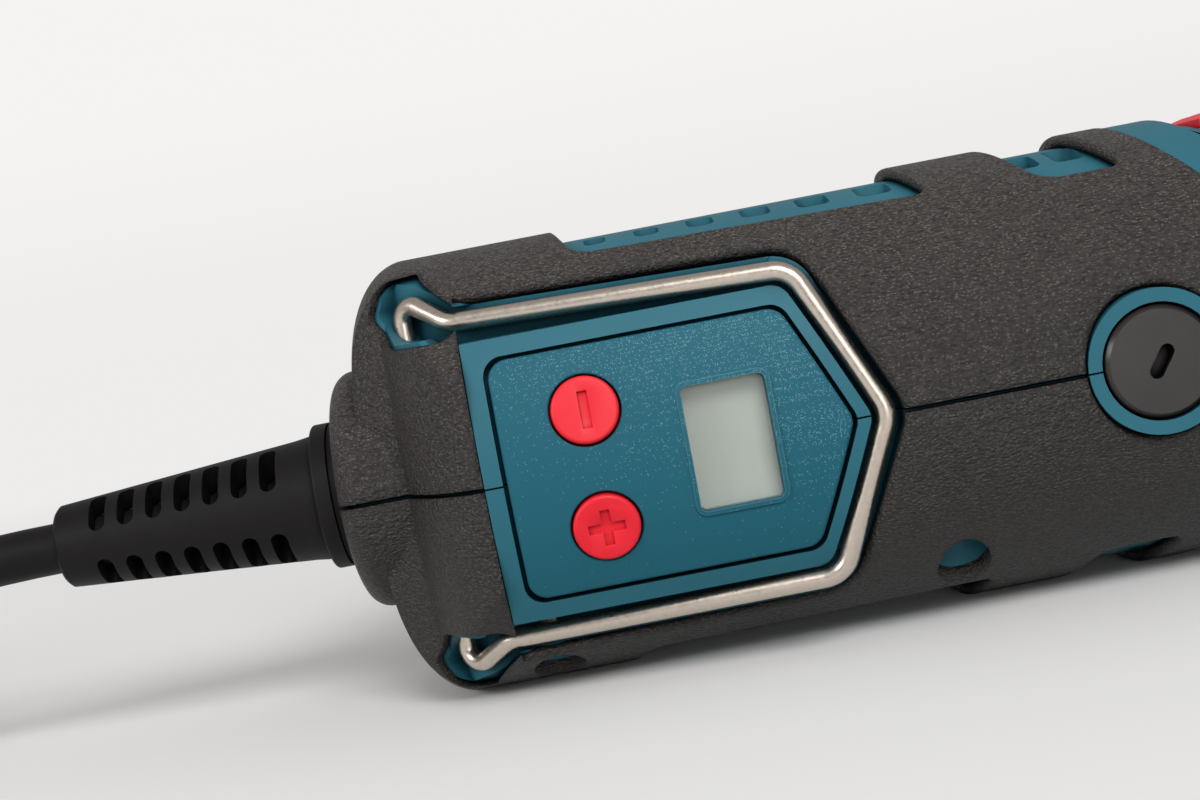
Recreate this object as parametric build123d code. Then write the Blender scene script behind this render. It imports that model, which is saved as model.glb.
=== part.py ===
from build123d import *
import os
from math import atan2, copysign, cos, degrees, dist, hypot, pi, radians, sin, sqrt, tan

# A corded rotary tool lying on its lower shell. Millimetres.
# The pieces are drawn about the tool axis: +X to the nose, -Y to the display side, +Z up.
# x = 0 is the rear edge of the display panel. PLACE then sets the model on the floor.

# Body and skins
BODY_R = 26.5           # outside of the rubber
GRIP_T = 1.5            # rubber
SHELL_WALL = 2.2        # plastic shell under the rubber
BOND = 0.05             # film between the rubber and the shell
SEAM = 0.1              # half the parting line of the shells
GRIP_SEAM = 0.25        # half the parting line in the rubber
MOAT_EDGE = 0.8         # rounding of the rubber round the panel
WINDOW_EDGE = 0.7       # of its vent windows
RING_EDGE = 0.5         # and round the brush caps
FLAT_CUT = 0.5          # depth of the flat that the body lies on
CLEAR = 0.3             # between pieces that move past each other
RUN = 0.05              # radial clearance of a turning fit
PRESS = 0.02            # radial clearance of a piece fixed on the shaft
SLIP = 0.1              # clearance of a piece dropped into its seat

# Rear end
REAR_X = -13.8          # end of the dome
CORNER_LEN = 7.8        # rounded corner, along the axis
DOME_EDGE = 12.0        # from the rubber's outside to the flat part of the end
BOSS_X = -17.3          # face behind the strain relief
BOSS_Y = 17.0
BOSS_Z = 14.5
BOSS_EDGE = 2.5
SLOPE_R = 60.0          # curve across the sloped rear shoulder
SLOPE_X = 1.5           # where the shoulder starts
SLOPE_A = 12.5          # its elliptical section
SLOPE_B = 18.0
SLOPE_TURN = 58.0       # degrees

# Display panel
FACE_DROP = 1.25        # crest of the panel inside the rubber's radius
FACE_R = 34.5           # curve across the panel
PANEL_LEN = 42.3
PANEL_HALF = 15.7
APEX_RISE = 6.7
FRAME_W = 2.45          # frame beside the bezel
FRAME_NOSE = 1.8        # frame along the slanted edges
BEZEL_GAP = 0.45
BEZEL_T = 2.0
BEZEL_EDGE = 0.45       # rounding of its outer edge
HOLE_EDGE = 0.2         # and of its button holes
PANEL_EDGE = 2.2        # corner radius of the panel
MOAT_GAP = 0.5          # between the bail and the rubber round it
BUTTON_X = 12.1
BUTTON_Z = 6.44
BUTTON_R = 3.69
BUTTON_GAP = 0.25
BUTTON_PROUD = 0.35
BUTTON_FLANGE = 0.6
BUTTON_FLANGE_T = 0.8
FLANGE_GAP = 0.1        # between a flange's edge and the bezel
BUTTON_TRAVEL = 0.4
WINDOW_X = 27.04        # centre of the display window
WINDOW_L = 9.22
WINDOW_H = 13.72
WINDOW_LIP = 0.5
LENS_SINK = 1.05
LENS_T = 1.9
LCD_MARGIN = 1.3
LCD_T = 2.9
BOARD_T = 1.6
BOARD_X0 = 9.0
BOARD_X1 = 37.0
BOARD_HALF = 12.8
OPENING_ROOM = 0.07     # between the buttons' flanges and the hole in the shell

# Hanging bail
WIRE_R = 1.1
PIVOT_X = -6.4
PIVOT_IN = 14.5         # pivot inside the rubber's radius
BAIL_SWING = 95.0       # degrees
BAIL_OUT = 4.5          # outer bend inside the rubber's radius
BAIL_GRIP = 9.0         # length of the pivot end
CHANNEL_WALL = 1.2      # plastic under and beside the channel it lies in
POCKET_RIM = 0.5        # plastic rim round the pocket of the pivot end
POCKET_SINK = 0.8       # rim below the rubber
POCKET_CORNER = 0.9
POCKET_WALL = 2.6

# Vent windows in the rubber, mirrored below
CHEVRON = 17.0          # rise of the slanted edges from the top to the seam
GRIP_END = 79.0         # rubber's front edge at the top
WINDOW_ENDS = ((12.2, 52.2), (64.2, 73.4))
WINDOW_HALF = ((11.9, 13.4), (14.6, 14.8))
WINDOW_CORNER = 1.6
VENTS = ((17.0, 2.6, 7.3), (23.2, 2.9, 7.6), (29.6, 3.2, 7.9), (36.2, 3.5, 8.2),
         (43.0, 3.8, 8.5), (50.2, 4.1, 8.7), (67.8, 3.6, 9.6), (73.0, 3.6, 9.6))
VENT_SPINE = 3.9        # half of the crest left between the slots of both sides
VENT_EDGE = 1.0         # their corner radius

# Collar, front body and nose
COLLAR_DROP = 0.2       # collar inside the rubber's radius
COLLAR_LEN = 6.0
GROOVE_W = 2.0
GROOVE_D = 0.7
FRONT_STEP = 0.2        # front body inside the shell's radius
FRONT_WALL = 3.2
TAPER_PAST = 4.5        # start of the taper past the fan's eye
TAPER_FALL = 5.1        # fall of the radius along the taper
NOSE_WALL = 4.8         # round the front bearing
FRONT_GRIP_T = 1.3
SPIGOT_R = 11.0
SPIGOT_LEN = 10.0
CAP_GAP = 0.2
CAP_LEN = 13.2
CAP_R = 16.9
CAP_TIP_R = 12.2
EXHAUST_N = 6
EXHAUST_W = 2.4
EXHAUST_L = 10.0

# Motor
BRUSH_X = 73.5
COMM_R = 11.0
COMM_LEN = 12.0
COMM_BARS = 16
COMM_TO_CORE = 6.5
CORE_LEN = 28.0
STATOR_ROOM = 1.0       # between the stator and the front shell
STATOR_BORE = 13.3
AIR_GAP = 0.4
CORE_SLOTS = 12
SHAFT_R = 4.0
REAR_SHAFT_R = 3.0
REAR_BRG_X = 54.0
REAR_BRG_R = 9.5
REAR_BRG_W = 6.0
CUP_T = 1.3
GRIP_TO_BRG = 9.0       # from the finger grip's edge to the front bearing
FRONT_BRG_R = 11.0
FRONT_BRG_W = 7.0
CORE_TO_FAN = 5.5
FAN_LEN = 7.0
FAN_ROOM = 3.1          # between the fan and the front shell
FAN_BLADES = 11
BAFFLE_T = 1.2
COIL_OVER = 3.5         # field coil past the core
SHOULDER_R = 5.6
BRG_TO_NOSE = 0.5
NOSE_TO_SHOULDER = 0.7
SHOULDER_LEN = 8.0
THREAD_R = 4.5
THREAD_LEN = 8.4        # thread inside the nut
CAP_TO_NUT = 0.7
NUT_LEN = 14.4
NUT_R = 7.6
NUT_FLATS = 12.0
COLLET_BORE_R = 1.6
COLLET_TIP = 0.6        # collet past the nut
COLLET_LEN = 19.0
COLLET_REAR_R = 2.8
COLLET_FRONT_R = 3.6
COLLET_SLIT = 0.5

# Brush gear
RING_R = 7.9
RING_HOLE = 6.39
RING_DROP = 0.1         # ring's face inside the rubber's radius
CAP_PROUD = 0.1         # cap past the rubber's radius
BRUSH_CAP_R = 6.1
BRUSH_CAP_T = 3.1
BRUSH_SLOT_L = 4.0
BRUSH_SLOT_W = 1.6
BRUSH_SLOT_TURN = 55.0
BRUSH_W = 5.0
BRUSH_H = 6.4
BRUSH_LEN = 8.7
HOLDER_WALL = 0.8
SPRING_R = 2.6

# Switch and spindle lock
GRIP_TO_SLIDER = 11.0   # from the rubber's front edge to the slide
SLIDER_LEN = 16.0
SLIDER_HALF = 6.2
SLIDER_TRAVEL = 5.0
SLIDER_RISE = 2.3
SLIDER_FLOOR = 1.2      # pocket floor below the front body's top
STEM_HALF = 2.0
STEM_LEN = 5.0
BAR_T = 0.9
BAR_HALF = 2.5
SWITCH_X0 = 24.0
SWITCH_X1 = 44.0
SWITCH_HALF = 7.0
SWITCH_H = 12.0
FAN_TO_LOCK = 8.7
LOCK_TO_GRIP = 5.8      # from the lock button to the finger grip
LOCK_R = 4.5
LOCK_TRAVEL = 2.8
LOCK_PIN_R = 1.75
LOCK_PROUD = 1.5
LOCK_FLANGE = 0.9

# Screws along Z
REAR_SCREW_X = 3.8
PANEL_TO_SCREW = 8.5    # from the panel's point to the middle pair
FAN_TO_SCREW = 5.9      # from the fan to the front pair
SCREW_INSETS = (12.3, 7.0, 6.3)  # from the shell's outside, rear to front
SCREW_R = 1.45
SCREW_HEAD_R = 2.8
SCREW_HEAD_H = 2.2
SCREW_RECESS_R = 3.1
SCREW_BOSS_R = 3.6
SCREW_REACH = 8.0       # past the seam

# Lead and strain relief
CORD_R = 3.1
FLANGE_R = 8.6
FLANGE_T = 2.0
RELIEF_ROOT_R = 7.9
RELIEF_TIP_R = 5.05
RELIEF_X = -53.2
RELIEF_SLOTS = 7
RELIEF_PITCH = 3.53
RELIEF_FIRST = -47.6
RELIEF_SLOT_W = 2.0
RELIEF_SLOT_FROM = 18.0  # degrees from the seam plane
RELIEF_SLOT_TO = 78.0
NECK_R = 7.0
NECK_FLANGE_R = 9.0
NECK_FLANGE_T = 2.0
CLAMP_X = -4.0
CLAMP_L = 7.0
CLAMP_HALF = 9.5
CLAMP_SCREW_Y = 6.6

# Put-away hank and plug
HANK_LAYERS = 4
HANK_FOLDS = 3          # in each layer
HANK_FOLD_R = 18.6      # tightest fold
HANK_PITCH = 7.05       # between neighbours in a layer
HANK_RISE = 6.75        # between layers
HANK_RUN = 70.5         # from fold to fold
HANK_WAIST = 5.0        # how far the tie draws each run in
HANK_Y = -3.5           # its middle, beside the tool axis
HANK_LIFT = 0.9         # room for the tie under it
PLUG_W = 35.0
PLUG_T = 13.7
PLUG_L = 35.0
PLUG_NECK_L = 14.0
PIN_R = 2.0
PIN_L = 19.0
PIN_SPACE = 18.6
PIN_ROOT_R = 1.6        # pin inside the plug
PIN_ROOT_L = 6.0

# Worked-out sizes
SHELL_R = BODY_R - GRIP_T
CAVITY_R = SHELL_R - SHELL_WALL
DOME_R = BODY_R - DOME_EDGE
COLLAR_R = BODY_R - COLLAR_DROP
FRONT_R = SHELL_R - FRONT_STEP
FRONT_CAVITY_R = FRONT_R - FRONT_WALL
TAPER_R = FRONT_R - TAPER_FALL
NOSE_R = FRONT_BRG_R + NOSE_WALL
STATOR_R = FRONT_CAVITY_R - STATOR_ROOM
FAN_R = FRONT_CAVITY_R - FAN_ROOM
CORE_X = BRUSH_X + COMM_LEN / 2 + COMM_TO_CORE
FAN_X = CORE_X + CORE_LEN + CORE_TO_FAN
FAN_END = FAN_X + FAN_LEN
EXHAUST_X = FAN_X + FAN_LEN / 2
TAPER_X = FAN_X + TAPER_PAST
LOCK_X = FAN_END + FAN_TO_LOCK
FRONT_GRIP_X = LOCK_X + LOCK_TO_GRIP
FRONT_BRG_X = FRONT_GRIP_X + GRIP_TO_BRG
NOSE_X = FRONT_BRG_X + FRONT_BRG_W + BRG_TO_NOSE
SHOULDER_X = NOSE_X + NOSE_TO_SHOULDER
NUT_X = NOSE_X + CAP_GAP + CAP_LEN + CAP_TO_NUT
NUT_END = NUT_X + NUT_LEN
THREAD_END = NUT_X + THREAD_LEN
SLIDER_X = GRIP_END + GRIP_TO_SLIDER
SCREW_X = (REAR_SCREW_X, PANEL_LEN + PANEL_TO_SCREW, FAN_END + FAN_TO_SCREW)
FACE_CREST = BODY_R - FACE_DROP
FACE_AXIS = FACE_R - FACE_CREST
CHEVRON_SLOPE = CHEVRON / BODY_R
AXIS_H = BODY_R - FLAT_CUT
TIP_X = NUT_END + COLLET_TIP
PLACE = Pos(-(RELIEF_X + TIP_X) / 2, 0, AXIS_H)
FAR = 60.0              # past every outline
FLOOR = -AXIS_H
HANK_Z = FLOOR + HANK_LIFT + CORD_R
HANK_R = HANK_FOLD_R + HANK_PITCH / 2 * (HANK_FOLDS - 1)
PIVOT_Y = -(BODY_R - PIVOT_IN)
BAIL_Z = BODY_R - BAIL_OUT
BAIL_BEND = Vector(-1.0, -(BODY_R - 10.0), PANEL_HALF + WIRE_R + 1.4)
BAIL_BESIDE = PANEL_HALF + WIRE_R + CLEAR
BAIL_SIDE = Vector(PANEL_LEN - APEX_RISE + WIRE_R + 0.1, -(FACE_CREST - 3.75), BAIL_BESIDE)
BAIL_APEX = Vector(PANEL_LEN + WIRE_R + 0.8, -(FACE_CREST - 0.75), 0)
BUTTON_REACH = BUTTON_R + BUTTON_FLANGE
BUTTON_UNDER = BEZEL_T + BUTTON_REACH ** 2 / (2 * (FACE_R - BEZEL_T)) + FLANGE_GAP
OPENING_HALF = BUTTON_Z + BUTTON_REACH + OPENING_ROOM
BAIL_PIVOT = Vector(PIVOT_X, PIVOT_Y, BAIL_Z)
BOARD_Y = -(FACE_CREST - 6.65)
CAVITY_FACE = BOARD_Y - 0.9
LCD_FACE = -(FACE_CREST - LENS_SINK - LENS_T - SLIP)
CORE_R = STATOR_BORE - AIR_GAP
RING_Y = BODY_R - RING_DROP
BRUSH_CAP_Y = BODY_R + CAP_PROUD
HOLDER_END = BRUSH_CAP_Y - BRUSH_CAP_T - 1.7
SLIDER_Z = FRONT_R - SLIDER_FLOOR
BAR_TOP = SLIDER_Z - 1.4


def block(x0, x1, y0, y1, z0, z1):
    """Box between two corners."""
    return Pos((x0 + x1) / 2, (y0 + y1) / 2, (z0 + z1) / 2) * Box(x1 - x0, y1 - y0, z1 - z0)


def turned(*points):
    """Solid turned about the tool axis from a closed outline of (x, radius)."""
    return revolve(make_face(Polyline(*points, close=True).edges()), Axis.X)


def ring(x0, x1, outer, inner):
    """Plain turned ring."""
    return turned((x0, inner), (x1, inner), (x1, outer), (x0, outer))


def rod(x0, x1, radius):
    """Plain turned rod."""
    return turned((x0, 0), (x1, 0), (x1, radius), (x0, radius))


def post(x, y, z0, z1, radius):
    """Upright cylinder."""
    return Pos(x, y, (z0 + z1) / 2) * Cylinder(radius, z1 - z0)


def across(x, y0, y1, radius):
    """Cylinder along Y."""
    return Pos(x, (y0 + y1) / 2, 0) * Rot(90, 0, 0) * Cylinder(radius, abs(y1 - y0))


def prism_y(sketch, y0, y1):
    """Outline drawn in X and Z, pulled along Y from y0 out to y1 on the display side."""
    return extrude(Plane.XZ.offset(-y0) * sketch, y0 - y1)


def prism_x(sketch, x0, x1):
    """Outline drawn in Y and Z, pulled along X."""
    return extrude(Plane.YZ.offset(x0) * sketch, x1 - x0)


def prism_z(sketch, z0, z1):
    """Outline drawn in X and Y, pulled along Z."""
    return extrude(Plane.XY.offset(z0) * sketch, z1 - z0)


def both_sides(shape):
    """The shape and its mirror image below the seam."""
    return [shape, mirror(shape, Plane.XY)]


def halves(shape, gap):
    """Upper and lower half, with the parting line between them."""
    upper = block(-FAR, TIP_X + FAR, -FAR, FAR, gap, FAR)
    return shape & upper, shape & mirror(upper, Plane.XY)


def envelope(inset, x_front):
    """The round body with its domed rear corner and sloped shoulder, drawn in by inset."""
    rear = REAR_X + inset
    radius = BODY_R - inset
    corner_x = REAR_X + CORNER_LEN
    corner = EllipticalCenterArc((corner_x, DOME_R), corner_x - rear, radius - DOME_R, 90, arc_size=90)
    sides = Polyline((rear, DOME_R), (rear, 0), (x_front, 0), (x_front, radius), (corner_x, radius))
    body = revolve(make_face(corner.edges() + sides.edges()), Axis.X)
    crest = SLOPE_R - inset
    middle = (SLOPE_X, crest - SLOPE_B)
    shoulder = EllipticalCenterArc(middle, SLOPE_A - inset, SLOPE_B, 90, arc_size=SLOPE_TURN)
    low = shoulder @ 1
    back = Vector(REAR_X - 8, low.Y - 7)
    over = crest + SLOPE_B
    outline = Polyline(low, back, (back.X, over), (SLOPE_X, over), (SLOPE_X, crest))
    cutter = revolve(make_face(shoulder.edges() + outline.edges()), Axis.X)
    return body - Pos(0, SLOPE_R - FACE_CREST, 0) * cutter


def boss(inset):
    """The oval boss that carries the strain relief."""
    oval = Ellipse(BOSS_Y - inset, BOSS_Z - inset)
    solid = prism_x(oval, BOSS_X + inset, REAR_X + CORNER_LEN)
    rim = solid.edges().group_by(Axis.X)[0]
    return fillet(rim, BOSS_EDGE - inset / 2)


def chevron(x_top):
    """Everything behind a pair of slanted planes that meet in a forward point on the seam."""
    seam_x = x_top + CHEVRON
    reach = 2 * BODY_R
    outline = Polygon((-FAR, -reach), (seam_x - reach * CHEVRON_SLOPE, -reach), (seam_x, 0),
                      (seam_x - reach * CHEVRON_SLOPE, reach), (-FAR, reach), align=None)
    return prism_y(outline, FAR, -FAR)


def five_sided(left, half_left, corner, half_corner, apex, radius):
    """Panel outline in X and Z, with its three nose corners rounded."""
    outline = Polygon((left, -half_left), (corner, -half_corner), (apex, 0), (corner, half_corner),
                      (left, half_left), align=None)
    return fillet(outline.vertices().sort_by(Axis.X)[2:], radius)


def pentagon(side, nose, left):
    """The frame's outline, drawn in at the sides and along the slanted edges."""
    half = PANEL_HALF - side
    slope = APEX_RISE / PANEL_HALF
    apex = PANEL_LEN - nose * sqrt(1 + slope ** 2)
    return five_sided(left, half, apex - half * slope, half, apex, PANEL_EDGE)


def plate_outline(grow):
    """The bezel's outline, with its rear corners rounded too."""
    outline = pentagon(FRAME_W - grow, FRAME_NOSE - grow, FRAME_W - grow)
    return fillet(outline.vertices().sort_by(Axis.X)[:2], PANEL_EDGE)


def moat_outline(grow, left):
    """Outer edge of the channel that the bail lies in."""
    room = WIRE_R + MOAT_GAP + grow
    return five_sided(left, BAIL_BEND.Z + room, BAIL_SIDE.X + room * 0.66, BAIL_SIDE.Z + room,
                      BAIL_APEX.X + room * 1.09, PANEL_EDGE + 2.5)


def face_bar(inset):
    """Long bar whose near side is the panel's curved face, drawn in by inset."""
    return Pos(0, FACE_AXIS, 0) * rod(-FAR, PANEL_LEN + FAR, FACE_R - inset)


def channel(start, end, outward, half, below, above):
    """Round-ended groove along start to end, from below the line to above it."""
    run = end - start
    normal = outward - run * (outward.dot(run) / run.dot(run))
    plane = Plane((start + end) / 2, x_dir=run, z_dir=normal).offset(-below)
    return extrude(plane * SlotCenterToCenter(run.length, 2 * half), below + above)


def bail_channels(wall):
    """Room for the bail in the panel's moat, and the wall round it."""
    out = Vector(0, -1, 0)
    below = WIRE_R + CLEAR + 0.1 + wall
    width = 2.6 + wall
    grooves = [channel(BAIL_BEND, BAIL_SIDE, out, width, below, 9),
               channel(BAIL_SIDE, BAIL_APEX, out, width, below, 9)]
    return sum((both_sides(groove) for groove in grooves), [])


def pocket(grow, below):
    """Pocket round the pivot end of the bail, with its floor along the short arm."""
    arm = Vector(BAIL_BEND.X - PIVOT_X, BAIL_BEND.Y - PIVOT_Y, 0)
    plane = Plane((PIVOT_X, PIVOT_Y, 0), x_dir=arm, z_dir=arm.cross(Vector(0, 0, 1)))
    room = WIRE_R + 0.6
    inner = BAIL_BEND.Z - WIRE_R - CLEAR
    end = arm.length + WIRE_R + 1.3
    outline = Polygon((-1.5 * room, BAIL_Z - room), (1.2, inner), (end, inner), (end, BAIL_BEND.Z + 0.5),
                      (0.8, BAIL_Z + room + 0.1), (-room - 0.2, BAIL_Z + room - 0.2), align=None)
    outline = fillet(outline.vertices(), POCKET_CORNER)
    return both_sides(extrude(plane.offset(-below) * offset(outline, grow), below + FAR / 3))


def bail_swing():
    """Space swept by the short arms of the bail as it swings up."""
    arm = Vector(BAIL_BEND.X - PIVOT_X, BAIL_BEND.Y - PIVOT_Y, 0)
    reach = arm.length + WIRE_R
    drop = BAIL_Z - BAIL_BEND.Z
    room = WIRE_R + CLEAR
    strip = Polygon((0, BAIL_Z - room), (reach, BAIL_Z - drop - room), (reach, BAIL_Z - drop + room),
                    (0, BAIL_Z + room), align=None)
    plane = Plane((PIVOT_X, PIVOT_Y, 0), x_dir=arm, z_dir=arm.cross(Vector(0, 0, 1)))
    axis = Axis((PIVOT_X, PIVOT_Y, 0), (0, 0, -1))
    return both_sides(revolve(plane * strip, axis, BAIL_SWING + 8))


def window_cutters():
    """Vent windows in the rubber, with ends slanted like its front edge."""
    cutters = []
    for (x0, x1), (half0, half1) in zip(WINDOW_ENDS, WINDOW_HALF):
        reach = CHEVRON / 2
        far = x1 + reach
        near = x0 - 1
        outline = Polygon((near, -half0), (far, -half1), (far, half1), (near, half0), align=None)
        window = prism_z(outline, CAVITY_R / 2, FAR) & (chevron(x1) - chevron(x0))
        corners = window.edges().filter_by(lambda edge: abs((edge % 0.5).Z) > 0.5)
        cutters += both_sides(fillet(corners, WINDOW_CORNER))
    return cutters


def vent_cutters():
    """Air slots through the shell inside the windows."""
    cutters = []
    for x, width, reach in VENTS:
        slot = RectangleRounded(width, reach - VENT_SPINE, VENT_EDGE)
        for side in (1, -1):
            place = Pos(x, side * (reach + VENT_SPINE) / 2)
            cutters += both_sides(prism_z(place * slot, CAVITY_R / 2, FAR))
    return cutters


def exhaust_cutters():
    """Slanted air slots round the fan, on both sides."""
    cutters = []
    slot = SlotOverall(EXHAUST_L, EXHAUST_W)
    for side in (1, -1):
        for i in range(EXHAUST_N):
            turn = side * (90 + (i - (EXHAUST_N - 1) / 2) * 17)
            hole = extrude(Plane.XY.offset(FAN_R + 1) * Rot(0, 0, side * 20) * slot, FRONT_R)
            cutters.append(Rot(turn, 0, 0) * Pos(EXHAUST_X, 0, 0) * hole)
    return cutters


def screw_places():
    """Place of each closing screw, with the radius of the shell there."""
    places = []
    for x, inset in zip(SCREW_X, SCREW_INSETS):
        radius = SHELL_R if x < GRIP_END else FRONT_R - (x - TAPER_X) * taper_slope()
        for side in (1, -1):
            places.append((x, side * (radius - inset), radius))
    return places


def taper_slope():
    return (FRONT_R - TAPER_R) / (FRONT_GRIP_X - TAPER_X)


def seat_height(y, radius):
    """How far below the seam a screw's head seats."""
    return sqrt(radius ** 2 - y ** 2) - 5.0


def screw_recesses():
    return [post(x, y, -FAR, -seat_height(y, radius), SCREW_RECESS_R) for x, y, radius in screw_places()]


def front_outline():
    """Outer outline of the shell in front of the collar."""
    return ((GRIP_END - 20, 0), (GRIP_END - 20, FRONT_R), (TAPER_X, FRONT_R), (FRONT_GRIP_X, TAPER_R),
            (FRONT_GRIP_X, TAPER_R - FRONT_GRIP_T), (NOSE_X - 8, NOSE_R + 0.6), (NOSE_X, NOSE_R),
            (NOSE_X, SPIGOT_R), (NOSE_X + SPIGOT_LEN, SPIGOT_R), (NOSE_X + SPIGOT_LEN, 0))


def housing_outer():
    """Outside of both shells together."""
    rear = envelope(GRIP_T, GRIP_END + CHEVRON / 2) + boss(GRIP_T)
    rear -= block(GRIP_END - 5, FAR * 2, -FAR, FAR, -FAR, FAR)
    collar_end = GRIP_END + COLLAR_LEN
    collar = ring(GRIP_END - 5, collar_end + CHEVRON, COLLAR_R, SHELL_R - 3)
    collar = collar & (chevron(collar_end) - chevron(GRIP_END + SLIP))
    under = rod(GRIP_END - 6, collar_end + CHEVRON, SHELL_R) & chevron(collar_end)
    groove = ring(GRIP_END, collar_end + 2 * CHEVRON, FRONT_R + 2, FRONT_R - GROOVE_D)
    groove = groove & (chevron(collar_end + GROOVE_W) - chevron(collar_end))
    front = turned(*front_outline()) - groove
    panel = prism_y(moat_outline(0, 0), -CAVITY_R / 2, -FAR) & face_bar(0)
    rings = [across(BRUSH_X, side * CAVITY_R / 2, side * RING_Y, RING_R) for side in (1, -1)]
    return rear + [under, collar, front, panel] + rings


def cavity():
    """Hollow of both shells together."""
    rear = envelope(GRIP_T + SHELL_WALL, GRIP_END + 6)
    panel_back = block(-4, PANEL_LEN + 5, -FAR, CAVITY_FACE, -FAR, FAR)
    front = turned((GRIP_END, 0), (GRIP_END, FRONT_CAVITY_R), (TAPER_X + 4, FRONT_CAVITY_R),
                   (FRONT_BRG_X - 3, NOSE_R - 1), (FRONT_BRG_X - 3, 0))
    bearing = rod(FRONT_BRG_X, FRONT_BRG_X + FRONT_BRG_W, FRONT_BRG_R + SLIP / 2)
    bores = [rod(FRONT_BRG_X - 4, FRONT_BRG_X + 1, FRONT_BRG_R - 2), bearing,
             rod(FRONT_BRG_X, NOSE_X + SPIGOT_LEN + 1, SHOULDER_R + 1)]
    return (rear - ([panel_back] + bail_channels(CHANNEL_WALL))) + [front] + bores


def bearing_wall():
    """Bulkhead that holds the rear bearing, pierced for the cooling air."""
    seat = REAR_BRG_R + CUP_T + SLIP
    wall = ring(REAR_BRG_X + 0.5, REAR_BRG_X + REAR_BRG_W - 0.5, SHELL_R - 0.5, seat)
    middle = (seat + CAVITY_R) / 2
    size = (CAVITY_R - seat) / 2 - 2
    for i in range(6):
        hole = Rot(30 + 60 * i, 0, 0) * Pos(REAR_BRG_X + 3, 0, middle) * Rot(0, 90, 0) * Cylinder(size, 10)
        wall -= hole
    return wall


def stator_pads():
    """Ribs along the front shell that grip the stator."""
    pad = block(CORE_X - 2, CORE_X + CORE_LEN + 2, -1.5, 1.5, STATOR_R + SLIP / 2, FRONT_CAVITY_R + 0.5)
    return [Rot(22.5 + 45 * i, 0, 0) * pad for i in range(8)]


def switch_cradle():
    """Two ribs that hold the switch block under the roof of the upper shell."""
    block_room = switch_body(SLIP)
    top = SHELL_R - 1
    ribs = []
    for x in (SWITCH_X0 + 2.5, SWITCH_X1 - 2.5):
        rib = block(x - 1, x + 1, -SWITCH_HALF - 3, SWITCH_HALF + 3, switch_top() - SWITCH_H * 0.7, top)
        ribs.append((rib & rod(-FAR, FAR, SHELL_R - 1)) - block_room)
    return ribs


def switch_top():
    return BAR_TOP - BAR_T - 0.7


def switch_body(grow):
    """Outline block of the mains switch."""
    top = switch_top()
    return block(SWITCH_X0 - grow, SWITCH_X1 + grow, -SWITCH_HALF - grow, SWITCH_HALF + grow,
                 top - SWITCH_H - grow, top + grow)


def housing_inside():
    """Ribs, bosses and posts inside the shells."""
    parts = [bearing_wall()] + stator_pads()
    for x, y, radius in screw_places():
        height = sqrt(radius ** 2 - y ** 2) - 0.5
        keep = envelope(GRIP_T + 0.5, GRIP_END) if x < GRIP_END else turned(*front_outline())
        parts.append(post(x, y, -height, height, SCREW_BOSS_R) & keep)
    rims = pocket(POCKET_RIM, WIRE_R + CLEAR + POCKET_WALL)
    parts += [rim & envelope(POCKET_SINK, GRIP_END) for rim in rims]
    pivot = post(PIVOT_X, PIVOT_Y, BAIL_Z - BAIL_GRIP - 2.0, BAIL_Z - 3, WIRE_R + 2)
    parts += both_sides(pivot & envelope(GRIP_T, GRIP_END))
    for x in (BOARD_X0 + 3, BOARD_X1 - 3):
        for z in (1, -1):
            peg = Pos(x, 0, z * (OPENING_HALF + 1.1)) * Rot(90, 0, 0) * Cylinder(0.9, 2 * -BOARD_Y)
            parts.append(peg & block(-FAR, FAR, CAVITY_FACE - 1, BOARD_Y, -FAR, FAR))
    parts.append(lock_sleeve())
    return parts


def lock_sleeve():
    """Guide for the spindle lock button under the roof of the front shell."""
    roof = lock_roof()
    sleeve = post(LOCK_X, 0, lock_floor() - 1.2, roof - 1, LOCK_R + LOCK_FLANGE + CLEAR + 1.2)
    return sleeve & turned(*front_outline())


def lock_roof():
    return FRONT_R - (LOCK_X - TAPER_X) * taper_slope()


def lock_floor():
    return SHAFT_R + 6.5


def lock_cuts():
    """Stepped hole for the spindle lock button."""
    roof = lock_roof()
    floor = lock_floor()
    return [post(LOCK_X, 0, floor, roof - 3.5, LOCK_R + LOCK_FLANGE + CLEAR),
            post(LOCK_X, 0, floor, roof + 5, LOCK_R + CLEAR),
            post(LOCK_X, 0, 0, floor + 1, LOCK_PIN_R + 0.2)]


def slider_cuts():
    """Pocket, slot and bar channel for the on/off slide in the upper shell."""
    x1 = SLIDER_X + SLIDER_LEN
    stem_x = SLIDER_X + 6
    pocket_cut = block(SLIDER_X - 0.5, x1 + SLIDER_TRAVEL + 0.5, -SLIDER_HALF - CLEAR, SLIDER_HALF + CLEAR,
                       SLIDER_Z, FAR)
    slot = block(stem_x - CLEAR, stem_x + STEM_LEN + SLIDER_TRAVEL + CLEAR, -STEM_HALF - CLEAR,
                 STEM_HALF + CLEAR, STATOR_R, FAR)
    bar_room = block(SWITCH_X0, stem_x + STEM_LEN + SLIDER_TRAVEL + 2, -BAR_HALF - CLEAR, BAR_HALF + CLEAR,
                     BAR_TOP - BAR_T - CLEAR, BAR_TOP + CLEAR)
    return [pocket_cut, slot, bar_room]


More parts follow.
